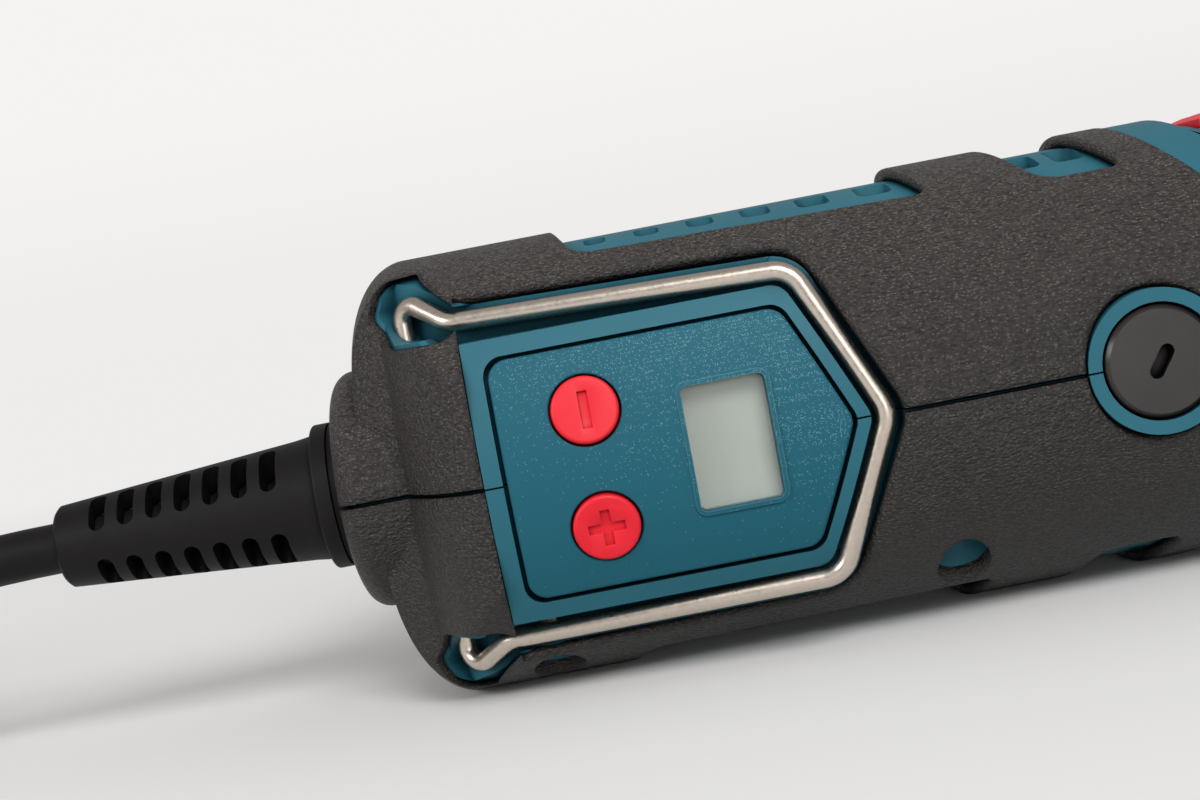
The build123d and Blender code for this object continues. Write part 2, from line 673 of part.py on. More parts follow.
def housing_cuts():
    """Everything cut through the finished shells."""
    cuts = vent_cutters() + exhaust_cutters() + lock_cuts() + slider_cuts() + screw_recesses()
    moat = prism_y(moat_outline(0.2, -6), -CAVITY_R / 2, -FAR)
    island = prism_y(pentagon(0, 0, 0), -CAVITY_R / 2, -FAR)
    cuts += [(groove & moat) - island for groove in bail_channels(0)]
    cuts += pocket(0, WIRE_R + CLEAR) + bail_swing()
    cuts += both_sides(post(PIVOT_X, PIVOT_Y, BAIL_Z - BAIL_GRIP - 0.5, BAIL_Z + 1, WIRE_R + RUN))
    bezel_seat = prism_y(plate_outline(BEZEL_GAP), 0, -FAR)
    cuts.append(bezel_seat - face_bar(BEZEL_T + RUN))
    opening_x = BUTTON_X - BUTTON_REACH - 1.21
    cuts.append(block(opening_x, PANEL_LEN - 7, -FAR, CAVITY_FACE + 1, -OPENING_HALF, OPENING_HALF))
    for x, y, radius in screw_places():
        cuts.append(post(x, y, -seat_height(y, radius) - 1, SEAM, SCREW_R + 0.15))
        cuts.append(post(x, y, 0, SCREW_REACH + 1, SCREW_R + RUN))
    for side in (1, -1):
        cuts.append(across(BRUSH_X, side * HOLDER_END, side * (RING_Y + 1), RING_HOLE))
        room = (BRUSH_W + 2 * (HOLDER_WALL + SLIP), abs(HOLDER_END) + 2, BRUSH_H + 2 * (HOLDER_WALL + SLIP))
        cuts.append(Pos(BRUSH_X, side * HOLDER_END / 2 + side, 0) * Box(*room))
    cuts.append(rod(BOSS_X - 1, REAR_X + 6, NECK_R + SLIP))
    cuts.append(rod(neck_x() - SLIP, REAR_X + 6, NECK_FLANGE_R + SLIP))
    return cuts


def neck_x():
    """Inner face of the wall that the strain relief's neck passes through."""
    return BOSS_X + GRIP_T + 2.3


def clamp_posts():
    """Saddle and posts for the cord clamp in the lower shell."""
    floor = -CAVITY_R - 1
    saddle = block(CLAMP_X - CLAMP_L / 2, CLAMP_X + CLAMP_L / 2, -3.2, 3.2, floor, -CORD_R - RUN)
    posts = [post(CLAMP_X, side * CLAMP_SCREW_Y, floor, -1.0, 2.6) for side in (1, -1)]
    holes = [post(CLAMP_X, side * CLAMP_SCREW_Y, -9, 0, SCREW_R + RUN) for side in (1, -1)]
    keep = envelope(GRIP_T + 1, GRIP_END)
    return [(part & keep) - holes for part in [saddle] + posts]


def housing():
    """The two plastic shells."""
    shell = (housing_outer() - cavity()) + housing_inside()
    shell -= housing_cuts()
    upper, lower = halves(shell, SEAM)
    upper += switch_cradle()
    upper -= slider_cuts()
    lower += clamp_posts()
    lower -= block(-FAR, FAR * 3, -FAR, FAR, -FAR, -AXIS_H)
    return upper, lower


def softened(rubber, radius, wanted):
    """The rubber with the wanted edges on its round outside rounded."""
    rims = []
    for edge in rubber.edges():
        points = [edge @ share for share in (0.25, 0.5, 0.75)]
        if all(abs(hypot(p.Y, p.Z) - BODY_R) < 0.02 and wanted(p) for p in points):
            rims.append(edge)
    return fillet(rims, radius)


def grip():
    """The rubber moulded over each shell."""
    skin = GRIP_T - BOND
    front = GRIP_END + CHEVRON + 4
    outer = envelope(0, front) + boss(0)
    rubber = outer - (envelope(skin, front + 1) + boss(skin))
    rubber = (rubber & chevron(GRIP_END)) - window_cutters()
    rubber = softened(rubber, WINDOW_EDGE, lambda p: abs(p.Y) < PANEL_HALF and p.X < GRIP_END)
    rubber -= prism_y(moat_outline(SLIP, -SLIP), 0, -FAR)
    rubber = softened(rubber, MOAT_EDGE, lambda p: p.Y < -PANEL_HALF and 0 < p.X < GRIP_END / 2 + CHEVRON)
    rubber -= [across(BRUSH_X, 0, side * FAR, RING_R + SLIP) for side in (1, -1)]
    rubber = softened(rubber, RING_EDGE, lambda p: dist((p.X, p.Z), (BRUSH_X, 0)) < RING_R + 2 * SLIP)
    cuts = screw_recesses() + bail_swing() + pocket(POCKET_RIM + BOND, WIRE_R + CLEAR + POCKET_WALL)
    cuts.append(rod(BOSS_X - 1, 0, NECK_R + SLIP))
    upper, lower = halves(rubber - cuts, GRIP_SEAM)
    lower -= block(-FAR, FAR * 3, -FAR, FAR, -FAR, -AXIS_H)
    return upper, lower


def front_grip():
    """Ribbed rubber finger grip on the taper."""
    x0 = FRONT_GRIP_X + SLIP
    middle = NOSE_X - 8
    top = FRONT_GRIP_T + 0.1
    inner = ((x0, TAPER_R - FRONT_GRIP_T + BOND), (middle, NOSE_R + 0.6 + BOND), (NOSE_X, NOSE_R + BOND))
    outer = ((NOSE_X, NOSE_R + top), (middle, NOSE_R + 0.6 + top), (x0, TAPER_R))
    sleeve = turned(*inner, *outer)
    knee = NOSE_R + 0.6 + top
    count = 4
    for i in range(count):
        x = x0 + 3 + i * (NOSE_X - x0 - 5) / (count - 1)
        slope = (TAPER_R - knee) / (middle - x0) if x < middle else 0.6 / (NOSE_X - middle)
        sleeve -= ring(x - 0.6, x + 0.6, BODY_R, knee + (middle - x) * slope - 0.5)
    return halves(sleeve, GRIP_SEAM)


def surface_y(z, inset):
    """Height of the panel's face at a distance from the seam."""
    return FACE_AXIS - sqrt((FACE_R - inset) ** 2 - z ** 2)


def button_plane(side):
    """Plane on the panel's face at a button, with its normal pointing out."""
    tilt = side * BUTTON_Z / FACE_R
    normal = Vector(0, -sqrt(1 - tilt ** 2), tilt)
    return Plane((BUTTON_X, surface_y(BUTTON_Z, 0), side * BUTTON_Z), x_dir=(1, 0, 0), z_dir=normal)


def display_bezel():
    """Five-sided plate with the display window and the button holes."""
    plate = prism_y(plate_outline(0), 0, -FAR) & (face_bar(0) - face_bar(BEZEL_T))
    plate = fillet(plate.faces().sort_by(Axis.Y)[0].edges(), BEZEL_EDGE)
    lip = Pos(WINDOW_X, 0) * RectangleRounded(WINDOW_L + 2 * WINDOW_LIP, WINDOW_H + 2 * WINDOW_LIP, 1.3)
    plate += prism_y(lip, 0, -FAR) & (face_bar(-0.25) - face_bar(BEZEL_T / 2))
    window = Pos(WINDOW_X, 0) * RectangleRounded(WINDOW_L, WINDOW_H, 0.8)
    plate -= prism_y(window, 0, -FAR)
    hole_r = BUTTON_R + BUTTON_GAP
    for side in (1, -1):
        plate -= extrude(button_plane(side) * Circle(hole_r), 4, both=True)
        middle = button_plane(side).origin
        rim = [e for e in plate.edges() if (e.center(CenterOf.BOUNDING_BOX) - middle).length < 1]
        plate = fillet(rim, HOLE_EDGE)
    return plate


def button(side):
    """Domed push button with a flange that keeps it behind the bezel."""
    plane = button_plane(side)
    back = plane.offset(-BUTTON_UNDER - BUTTON_FLANGE_T)
    stem = extrude(back * Circle(BUTTON_R), BUTTON_UNDER + BUTTON_FLANGE_T + BUTTON_PROUD)
    rim = stem.edges().filter_by(GeomType.CIRCLE).sort_by(Axis.Y)[0]
    stem = fillet(rim, 0.4)
    flange = extrude(back * Circle(BUTTON_REACH), BUTTON_FLANGE_T)
    return stem + flange


def lcd_lens():
    """Clear window set a little below the bezel."""
    outline = Pos(WINDOW_X, 0) * RectangleRounded(WINDOW_L - 2 * SLIP, WINDOW_H - 2 * SLIP, 0.7)
    y0 = -(FACE_CREST - LENS_SINK)
    return prism_y(outline, y0 + LENS_T, y0)


def lcd_module():
    """Display glass with its frame, standing on the board."""
    half_l = WINDOW_L / 2 + LCD_MARGIN
    half_h = WINDOW_H / 2 + LCD_MARGIN
    return block(WINDOW_X - half_l, WINDOW_X + half_l, LCD_FACE, LCD_FACE + LCD_T, -half_h, half_h)


def control_board():
    """Board behind the bezel, notched at its nose corners."""
    notch = 4.0
    shoulder = BOARD_X1 - notch
    side = BOARD_HALF - notch
    outline = Polygon((BOARD_X0, -BOARD_HALF), (shoulder, -BOARD_HALF), (BOARD_X1, -side), (BOARD_X1, side),
                      (shoulder, BOARD_HALF), (BOARD_X0, BOARD_HALF), align=None)
    return prism_y(outline, BOARD_Y + BOARD_T, BOARD_Y)


def tact_switches():
    """Click switch under each button."""
    group = []
    plunger_h = 0.7
    half = 3.0
    for side in (1, -1):
        plane = button_plane(side)
        depth = BUTTON_UNDER + BUTTON_FLANGE_T + BUTTON_TRAVEL + CLEAR
        tip = plane.origin - plane.z_dir * depth
        base_y = tip.Y + plunger_h
        base = block(BUTTON_X - half, BUTTON_X + half, base_y, BOARD_Y, tip.Z - half, tip.Z + half)
        plunger = extrude(plane.offset(-depth) * Circle(1.5), -plunger_h - 0.5)
        group.append(base + plunger)
    return group


def hanging_bail():
    """Bent wire loop, from one pivot end to the other."""
    half = [Vector(PIVOT_X, PIVOT_Y, BAIL_Z - BAIL_GRIP), BAIL_PIVOT, BAIL_BEND, BAIL_SIDE]
    lower = [Vector(p.X, p.Y, -p.Z) for p in reversed(half)]
    radii = [1.8, 3.0, 3.5, 3.5, 3.5, 3.0, 1.8]
    path = FilletPolyline(*half, BAIL_APEX, *lower, radius=radii)
    return sweep(Plane(path @ 0, z_dir=path % 0) * Circle(WIRE_R), path)


def brush_gear():
    """Caps, holders, carbon brushes and springs, on both sides."""
    caps, holders, brushes, springs = [], [], [], []
    spring_end = BRUSH_CAP_Y - 2.4
    brush_end = COMM_R + CLEAR + BRUSH_LEN
    for side in (1, -1):
        cap = across(BRUSH_X, side * (BRUSH_CAP_Y - BRUSH_CAP_T), side * BRUSH_CAP_Y, BRUSH_CAP_R)
        rim = cap.edges().filter_by(GeomType.CIRCLE).sort_by(Axis.Y)[-1 if side > 0 else 0]
        cap = chamfer(rim, 0.5)
        cap += across(BRUSH_X, side * (HOLDER_END + SLIP), side * (BRUSH_CAP_Y - 1), BRUSH_CAP_R - 0.9)
        cap -= across(BRUSH_X, side * HOLDER_END, side * spring_end, SPRING_R + CLEAR)
        slot = Rot(0, 0, BRUSH_SLOT_TURN) * SlotOverall(BRUSH_SLOT_L, BRUSH_SLOT_W)
        slot = Plane.XZ * (Pos(BRUSH_X, 0) * slot)
        cap -= extrude(Pos(0, side * (BRUSH_CAP_Y - 1.2), 0) * slot, -side * 5)
        caps.append(cap)
        middle = side * (COMM_R + 1.6 + HOLDER_END) / 2
        length = HOLDER_END - COMM_R - 1.6
        tube = Box(BRUSH_W + 2 * HOLDER_WALL, length, BRUSH_H + 2 * HOLDER_WALL)
        tube -= Box(BRUSH_W + 2 * SLIP, length + 1, BRUSH_H + 2 * SLIP)
        holders.append(Pos(BRUSH_X, middle, 0) * tube)
        carbon = Box(BRUSH_W, BRUSH_LEN, BRUSH_H)
        brushes.append(Pos(BRUSH_X, side * (brush_end - BRUSH_LEN / 2), 0) * carbon)
        spring = across(BRUSH_X, side * (brush_end + RUN), side * (spring_end - RUN), SPRING_R)
        springs.append(spring - across(BRUSH_X, 0, side * BODY_R, SPRING_R - 0.5))
    return caps, holders, brushes, springs


def sector(inner, outer, start, end):
    """Piece of a ring, drawn in Y and Z between two angles from +Y."""
    size = end - start
    far = CenterArc((0, 0), outer, start, size)
    near = CenterArc((0, 0), inner, start, size)
    return make_face([far, near, Line(far @ 0, near @ 0), Line(far @ 1, near @ 1)])


def stator():
    """Laminated core and the two field coils wound on its poles."""
    inner = STATOR_BORE + 1.4
    outer = STATOR_R - 2.2
    pole = 58.0
    edge = 84.0
    lamination = Circle(STATOR_R) - Circle(STATOR_BORE)
    for turn in (0, 180):
        for start in (pole, -edge):
            lamination -= Rot(0, 0, turn) * sector(inner, outer, start, start + edge - pole)
    core = prism_x(lamination, CORE_X, CORE_X + CORE_LEN)
    front = CORE_X + CORE_LEN
    section = sector(inner + SLIP, outer - SLIP, -edge + 1, edge - 1)
    whole = prism_x(section, CORE_X - COIL_OVER, front + COIL_OVER)
    room = sector(inner - 1, outer + 1, -pole - 1, pole + 1)
    hole = prism_x(room, CORE_X - SLIP, front + SLIP)
    coil = whole - hole
    return core, [coil, Rot(180, 0, 0) * coil]


def spindle():
    """Armature shaft and output spindle in one, bored for the collet and the lock pin."""
    rear = REAR_BRG_X - 0.5
    step = REAR_BRG_X + REAR_BRG_W + 0.5
    shoulder = SHOULDER_X + SHOULDER_LEN
    shaft = turned((rear, 0), (rear, REAR_SHAFT_R), (step, REAR_SHAFT_R), (step, SHAFT_R),
                   (SHOULDER_X, SHAFT_R), (SHOULDER_X, SHOULDER_R), (shoulder, SHOULDER_R),
                   (shoulder, THREAD_R), (THREAD_END, THREAD_R), (THREAD_END, 0))
    seat_x = TIP_X - COLLET_LEN - CLEAR
    seat = turned((seat_x, 0), (seat_x, COLLET_REAR_R + SLIP), (THREAD_END + 1, COLLET_REAR_R + SLIP),
                  (THREAD_END + 1, 0))
    hole = post(LOCK_X, 0, -SHAFT_R - 1, SHAFT_R + 1, LOCK_PIN_R + 0.2)
    return shaft - seat - hole - Rot(90, 0, 0) * hole


def commutator():
    """Copper bars round the shaft."""
    x0 = BRUSH_X - COMM_LEN / 2
    end = x0 + COMM_LEN
    riser = end - 1.6
    bore = SHAFT_R + PRESS
    high = COMM_R + 0.8
    drum = turned((x0, bore), (x0, COMM_R), (riser, COMM_R), (riser, high), (end, high), (end, bore))
    cut = block(x0 - 1, end + 1, -0.25, 0.25, COMM_R - 0.9, COMM_R + 2)
    return drum - [Rot(360 * i / COMM_BARS, 0, 0) * cut for i in range(COMM_BARS)]


def armature():
    """Slotted core and its winding."""
    slot_w = 2.4
    slot_d = 5.0
    lamination = Circle(CORE_R) - Circle(SHAFT_R + PRESS)
    gap = Pos(0, CORE_R - slot_d / 2 + 0.5) * Rectangle(slot_w, slot_d + 1)
    fill = Pos(0, CORE_R - slot_d / 2 - 0.5) * Rectangle(slot_w - 2 * SLIP, slot_d - 2 * SLIP - 1)
    turns = [Rot(0, 0, 360 * i / CORE_SLOTS) for i in range(CORE_SLOTS)]
    core = prism_x(lamination - [turn * gap for turn in turns], CORE_X, CORE_X + CORE_LEN)
    front = CORE_X + CORE_LEN
    comm_end = BRUSH_X + COMM_LEN / 2
    tail = min(CORE_X - SLIP, CORE_X - (CORE_X - comm_end) * 0.85)
    eye = SHAFT_R + 1
    back = CORE_X - SLIP
    rear_end = turned((tail, eye), (tail, CORE_R - 3), (back, CORE_R - 0.8), (back, eye))
    nose = front + SLIP
    nose_end = turned((nose, eye), (nose, CORE_R - 0.8), (front + 3, CORE_R - 2.5), (front + 3, eye))
    bars = [prism_x(turn * fill, CORE_X - 0.5, front + 0.5) for turn in turns]
    return core, rear_end + [nose_end] + bars


def cooling_fan():
    """Radial fan with curved blades on a back plate."""
    bore = SHAFT_R + PRESS
    end = FAN_X + FAN_LEN
    body = ring(end - 1.4, end, FAN_R, bore) + ring(FAN_X, end, SHAFT_R + 3, bore)
    reach = FAN_R - 0.6
    tip = (reach * cos(0.12), -reach * sin(0.12))
    curve = ThreePointArc((SHAFT_R + 2.6, 0), ((SHAFT_R + reach) / 2, 2.0), tip)
    blade = prism_x(trace(curve, 1.0), FAN_X + 0.4, end - 1)
    return body + [Rot(360 * i / FAN_BLADES, 0, 0) * blade for i in range(FAN_BLADES)]


def ball_bearing(x0, width, outer, bore):
    """Shielded ball bearing as one ring with sunk shields."""
    race = (outer - bore) * 0.26
    sink = 0.4
    x1 = x0 + width
    low = bore + race
    high = outer - race
    rear = ((x0, bore), (x0, low), (x0 + sink, low), (x0 + sink, high), (x0, high), (x0, outer))
    front = ((x1, outer), (x1, high), (x1 - sink, high), (x1 - sink, low), (x1, low), (x1, bore))
    return turned(*rear, *front)


def bearings():
    rear = ball_bearing(REAR_BRG_X, REAR_BRG_W, REAR_BRG_R, REAR_SHAFT_R + RUN)
    front = ball_bearing(FRONT_BRG_X, FRONT_BRG_W, FRONT_BRG_R, SHAFT_R + RUN)
    back = REAR_BRG_X - 1.5
    end = REAR_BRG_X + REAR_BRG_W
    seat = REAR_BRG_X - RUN
    eye = REAR_SHAFT_R + 3
    inner = REAR_BRG_R + RUN
    outer = REAR_BRG_R + CUP_T
    cup = turned((back, eye), (back, outer), (end, outer), (end, inner), (seat, inner), (seat, eye))
    return rear, front, cup


def air_baffle():
    """Ring that guides the cooling air into the fan's eye."""
    x1 = FAN_X - CLEAR
    return ring(x1 - BAFFLE_T, x1, FRONT_CAVITY_R - RUN, STATOR_BORE + 0.5)


def power_slider():
    """Ribbed thumb slide with its stem, and the bar back to the switch."""
    x1 = SLIDER_X + SLIDER_LEN
    base = SLIDER_Z + CLEAR
    side_view = Polygon((SLIDER_X, base), (x1, base), (x1, base + 0.9), (x1 - 3, base + SLIDER_RISE + 0.6),
                        (x1 - 6, base + SLIDER_RISE + 0.4), (SLIDER_X + 3, base + SLIDER_RISE - 0.4),
                        (SLIDER_X, base + 1.2), align=None)
    pad = prism_y(side_view, SLIDER_HALF, -SLIDER_HALF)
    pad = pad & rod(SLIDER_X - 1, x1 + 1, base + SLIDER_RISE + 0.7)
    ribs = 5
    for i in range(ribs):
        x = SLIDER_X + 3.4 + i * 1.9
        pad -= block(x, x + 0.8, -SLIDER_HALF - 1, SLIDER_HALF + 1, base + SLIDER_RISE - 0.9, BODY_R * 2)
    stem_x = SLIDER_X + 6
    stem = block(stem_x, stem_x + STEM_LEN, -STEM_HALF, STEM_HALF, BAR_TOP - BAR_T, base + 0.5)
    return pad + stem


def switch_bar():
    """Flat bar from the slide to the switch, with a fork at the rear."""
    stem_x = SLIDER_X + 6
    bar = block(SWITCH_X0 + 6, stem_x + STEM_LEN + 1.5, -BAR_HALF, BAR_HALF, BAR_TOP - BAR_T, BAR_TOP)
    tab = block(SWITCH_X0 + 6, SWITCH_X0 + 8, -BAR_HALF, BAR_HALF, switch_top() - 2.2, BAR_TOP)
    eye = block(stem_x - SLIP, stem_x + STEM_LEN + SLIP, -STEM_HALF - SLIP, STEM_HALF + SLIP, 0, FAR)
    return bar + tab - eye


def switch_block():
    """Mains switch with a slot for the bar's tab."""
    x0 = SWITCH_X0 + 6 - CLEAR
    x1 = SWITCH_X0 + 8 + SLIDER_TRAVEL + CLEAR
    half = BAR_HALF + CLEAR
    room = block(x0, x1, -half, half, switch_top() - 2.2 - CLEAR, FAR)
    return switch_body(0) - room


def lock_button():
    """Push button with the pin that drops into the spindle."""
    roof = lock_roof()
    head_z = lock_floor() + LOCK_TRAVEL + 0.6
    flange_top = roof - 3.5 - CLEAR
    head = post(LOCK_X, 0, head_z, roof + LOCK_PROUD, LOCK_R)
    head = fillet(head.edges().filter_by(GeomType.CIRCLE).sort_by(Axis.Z)[-1], 0.8)
    head += post(LOCK_X, 0, head_z, flange_top, LOCK_R + LOCK_FLANGE)
    return head + post(LOCK_X, 0, SHAFT_R + 0.7, head_z + 1, LOCK_PIN_R)


def lock_spring():
    """Return spring round the lock pin."""
    z0 = lock_floor() + RUN
    z1 = lock_floor() + LOCK_TRAVEL + 0.6 - RUN
    return post(LOCK_X, 0, z0, z1, LOCK_PIN_R + 1.6) - post(LOCK_X, 0, z0 - 1, z1 + 1, LOCK_PIN_R + 0.8)


def collet():
    """Slit tapered sleeve that grips the bit's shank."""
    x0 = TIP_X - COLLET_LEN
    cone = THREAD_END + 1
    neck = COLLET_REAR_R - 0.2
    sleeve = turned((x0, COLLET_BORE_R), (x0, COLLET_REAR_R), (cone, COLLET_REAR_R),
                    (cone + 1.5, COLLET_FRONT_R), (NUT_END - 1.6, COLLET_FRONT_R), (NUT_END, neck),
                    (TIP_X, neck), (TIP_X, COLLET_BORE_R))
    slit = block(x0 + 5, TIP_X + 1, -COLLET_SLIT / 2, COLLET_SLIT / 2, 0, BODY_R)
    return sleeve - [Rot(120 * i, 0, 0) * slit for i in range(3)]


def collet_nut():
    """Hexagon nut that draws the collet into its cone."""
    hexagon = RegularPolygon(NUT_FLATS / 2, 6, major_radius=False)
    blank = turned((NUT_X, 0), (NUT_X, NUT_R - 0.8), (NUT_X + 1, NUT_R), (NUT_END - 4, NUT_R),
                   (NUT_END, NUT_R - 2.6), (NUT_END, 0))
    rear = ring(NUT_X, NUT_X + 4, NUT_R, 0.1)
    nut = blank & (prism_x(hexagon, NUT_X, NUT_END) + rear)
    bore = turned((NUT_X - 1, 0), (NUT_X - 1, THREAD_R + RUN), (THREAD_END + 0.6, THREAD_R + RUN),
                  (THREAD_END + 0.6, COLLET_FRONT_R + SLIP), (NUT_END - 1.6, COLLET_FRONT_R + SLIP),
                  (NUT_END, COLLET_REAR_R), (NUT_END + 1, COLLET_REAR_R), (NUT_END + 1, 0))
    return nut - bore


def nose_cap():
    """Grooved ring screwed over the nose thread."""
    x0 = NOSE_X + CAP_GAP
    x1 = x0 + CAP_LEN
    lip = NOSE_X + SPIGOT_LEN + CLEAR
    seat = SPIGOT_R + RUN
    eye = NUT_R + 2 * CLEAR
    cap = turned((x0, seat), (x0, CAP_R - 0.5), (x0 + 0.5, CAP_R), (x0 + 6, CAP_R - 0.4),
                 (x1 - 1, CAP_TIP_R + 0.8), (x1, CAP_TIP_R), (x1, eye), (lip, eye), (lip, seat))
    groove = Pos(x0 + 3.2, 0, CAP_R + 0.35) * Rot(0, 90, 0) * Cylinder(1.0, 8)
    count = 20
    return cap - [Rot(360 * i / count, 0, 0) * groove for i in range(count)]


def housing_screws():
    """Closing screws, driven from below."""
    group = []
    for x, y, radius in screw_places():
        seat = seat_height(y, radius)
        under = -seat - SCREW_HEAD_H
        screw = post(x, y, under, -seat, SCREW_HEAD_R) + post(x, y, -seat - 1, SCREW_REACH, SCREW_R)
        cross = [Pos(x, y, under) * Box(3.2, 0.8, 2), Pos(x, y, under) * Box(0.8, 3.2, 2)]
        group.append(screw - cross)
    return group


def cord_clamp():
    """Bar across the lead, and its two screws."""
    top = CORD_R + 2.2
    bar = block(CLAMP_X - CLAMP_L / 2, CLAMP_X + CLAMP_L / 2, -CLAMP_HALF, CLAMP_HALF, -1.0 + RUN, top)
    bar = bar - rod(CLAMP_X - CLAMP_L, CLAMP_X + CLAMP_L, CORD_R + RUN)
    screws = []
    for side in (1, -1):
        y = side * CLAMP_SCREW_Y
        bar -= post(CLAMP_X, y, -5, top + 1, SCREW_R + 0.15)
        shank = post(CLAMP_X, y, -8, top + 1, SCREW_R)
        screws.append(shank + post(CLAMP_X, y, top, top + 1.8, SCREW_HEAD_R))
    return bar, screws


def strain_relief():
    """Tapered sleeve, slotted in four rows so that it bends with the lead."""
    face = BOSS_X
    rear = face - FLANGE_T
    inside = neck_x()
    back = inside + NECK_FLANGE_T
    bore = CORD_R + SLIP
    taper = ((RELIEF_X, bore), (RELIEF_X, RELIEF_TIP_R - 0.4), (RELIEF_X + 0.4, RELIEF_TIP_R),
             (rear - 4, RELIEF_ROOT_R - 0.5), (rear - 0.6, RELIEF_ROOT_R), (rear, RELIEF_ROOT_R + 0.4))
    flange = ((rear, FLANGE_R - 0.4), (rear + 0.4, FLANGE_R), (face, FLANGE_R), (face, NECK_R))
    neck = ((inside, NECK_R), (inside, NECK_FLANGE_R), (back, NECK_FLANGE_R), (back, bore))
    sleeve = turned(*taper, *flange, *neck)
    end = degrees(RELIEF_SLOT_W / 2 / RELIEF_TIP_R)
    window = sector(CORD_R - 1, FLANGE_R, RELIEF_SLOT_FROM + end, RELIEF_SLOT_TO - end)
    cuts = []
    for i in range(RELIEF_SLOTS):
        x = RELIEF_FIRST + i * RELIEF_PITCH
        slot = [prism_x(window, x - RELIEF_SLOT_W / 2, x + RELIEF_SLOT_W / 2)]
        for angle in (RELIEF_SLOT_FROM + end, RELIEF_SLOT_TO - end):
            round_end = Pos(x, 0, 0) * Rot(angle, 0, 0) * Pos(0, FLANGE_R / 2, 0) * Rot(90, 0, 0)
            slot.append(round_end * Cylinder(RELIEF_SLOT_W / 2, FLANGE_R))
        for piece in slot:
            upper = [piece, mirror(piece, Plane.XZ)]
            cuts += upper + [mirror(p, Plane.XY) for p in upper]
    sleeve -= cuts
    return sleeve


# Lead: route of the free stretch, chosen by hand, then the hank that it runs into
ROUTE_SHARE = ((RELIEF_X, 0), (-67, 0), (-80.5, 0.145), (-94, 0.45), (-107.5, 0.765), (-121, 0.95),
               (-134, 1), (-146, 1))
ROUTE = [Vector(x, (HANK_Y + HANK_R) * share, HANK_Z * share) for x, share in ROUTE_SHARE]


def tangent_radii(points):
    """Largest arcs that the runs of a route allow."""
    radii = []
    for before, here, after in zip(points, points[1:], points[2:]):
        turn = (here - before).get_angle(after - here)
        shorter = min((here - before).length, (after - here).length)
        radii.append(0.45 * shorter / tan(radians(turn / 2)))
    return radii


def lead_tube(name, points):
    """Round lead along straight runs joined by tangent arcs."""
    radii = tangent_radii(points)
    path = FilletPolyline(*points, radius=radii)
    tube = sweep(Plane(path @ 0, z_dir=path % 0) * Circle(CORD_R), path)
    expected = pi * CORD_R ** 2 * path.length
    print(name, "radii", [round(r, 1) for r in radii], "length", round(path.length, 1),
          "volume ratio", round(tube.volume / expected, 4))
    return tube


def s_bend(start, end, heading):
    """Two arcs from one line to another beside it."""
    middle = (start + end) / 2
    first = TangentArc(start, middle, tangent=heading)
    return [first, TangentArc(middle, end, tangent=first % 1)]


def drawn_run(start, end, heading):
    """One run of the hank, drawn in at the waist."""
    waist = (start + end) / 2
    waist -= Vector(0, copysign(HANK_WAIST, start.Y - HANK_Y), 0)
    return s_bend(start, waist, heading) + s_bend(waist, end, heading)


def hank_fold(count):
    """Radius of a fold and the climb of the run before it, counted from the floor up."""
    layer, fold = divmod(count, HANK_FOLDS)
    step = HANK_FOLDS - 1 - fold if layer % 2 else fold
    climb = HANK_RISE if layer and not fold else 0
    if count == HANK_LAYERS * HANK_FOLDS - 1:
        step = 1
        climb = CORD_R + PLUG_T / 2 + SLIP
    return HANK_R - HANK_PITCH / 2 * step, climb


def cord_hank():
    """Put-away length as one unbroken tube, whose last fold brings the plug back on top of it."""
    heading = Vector(-1, 0, 0)
    here = ROUTE[-1] + heading * 2 * CORD_R
    edges = [Line(ROUTE[-1], here)]
    for count in range(HANK_LAYERS * HANK_FOLDS):
        radius, climb = hank_fold(count)
        end = here + heading * HANK_RUN + Vector(0, 0, climb)
        edges += drawn_run(here, end, heading)
        across_y = Vector(0, copysign(radius, end.Y - HANK_Y), 0)
        here = end - across_y * 2
        edges.append(ThreePointArc(end, end - across_y + heading * radius, here))
        heading = -heading
    edges.append(Line(here, here + heading * 2 * CORD_R))
    path = Wire(edges)
    tube = sweep(Plane(path @ 0, z_dir=path % 0) * Circle(CORD_R), path)
    print("hank length", round(path.length, 1), "volume ratio",
          round(tube.volume / (pi * CORD_R ** 2 * path.length), 4), "least gap", round(hank_gap(path), 2))
    return tube, path @ 1, path % 1


def hank_gap(path):
    """Least gap between turns of the hank, measured on points a millimetre apart."""
    count = round(path.length)
    points = [tuple(path @ (i / count)) for i in range(count + 1)]
    apart = round(2 * HANK_FOLD_R)
    return min(dist(p, q) for i, p in enumerate(points) for q in points[i + apart:]) - 2 * CORD_R


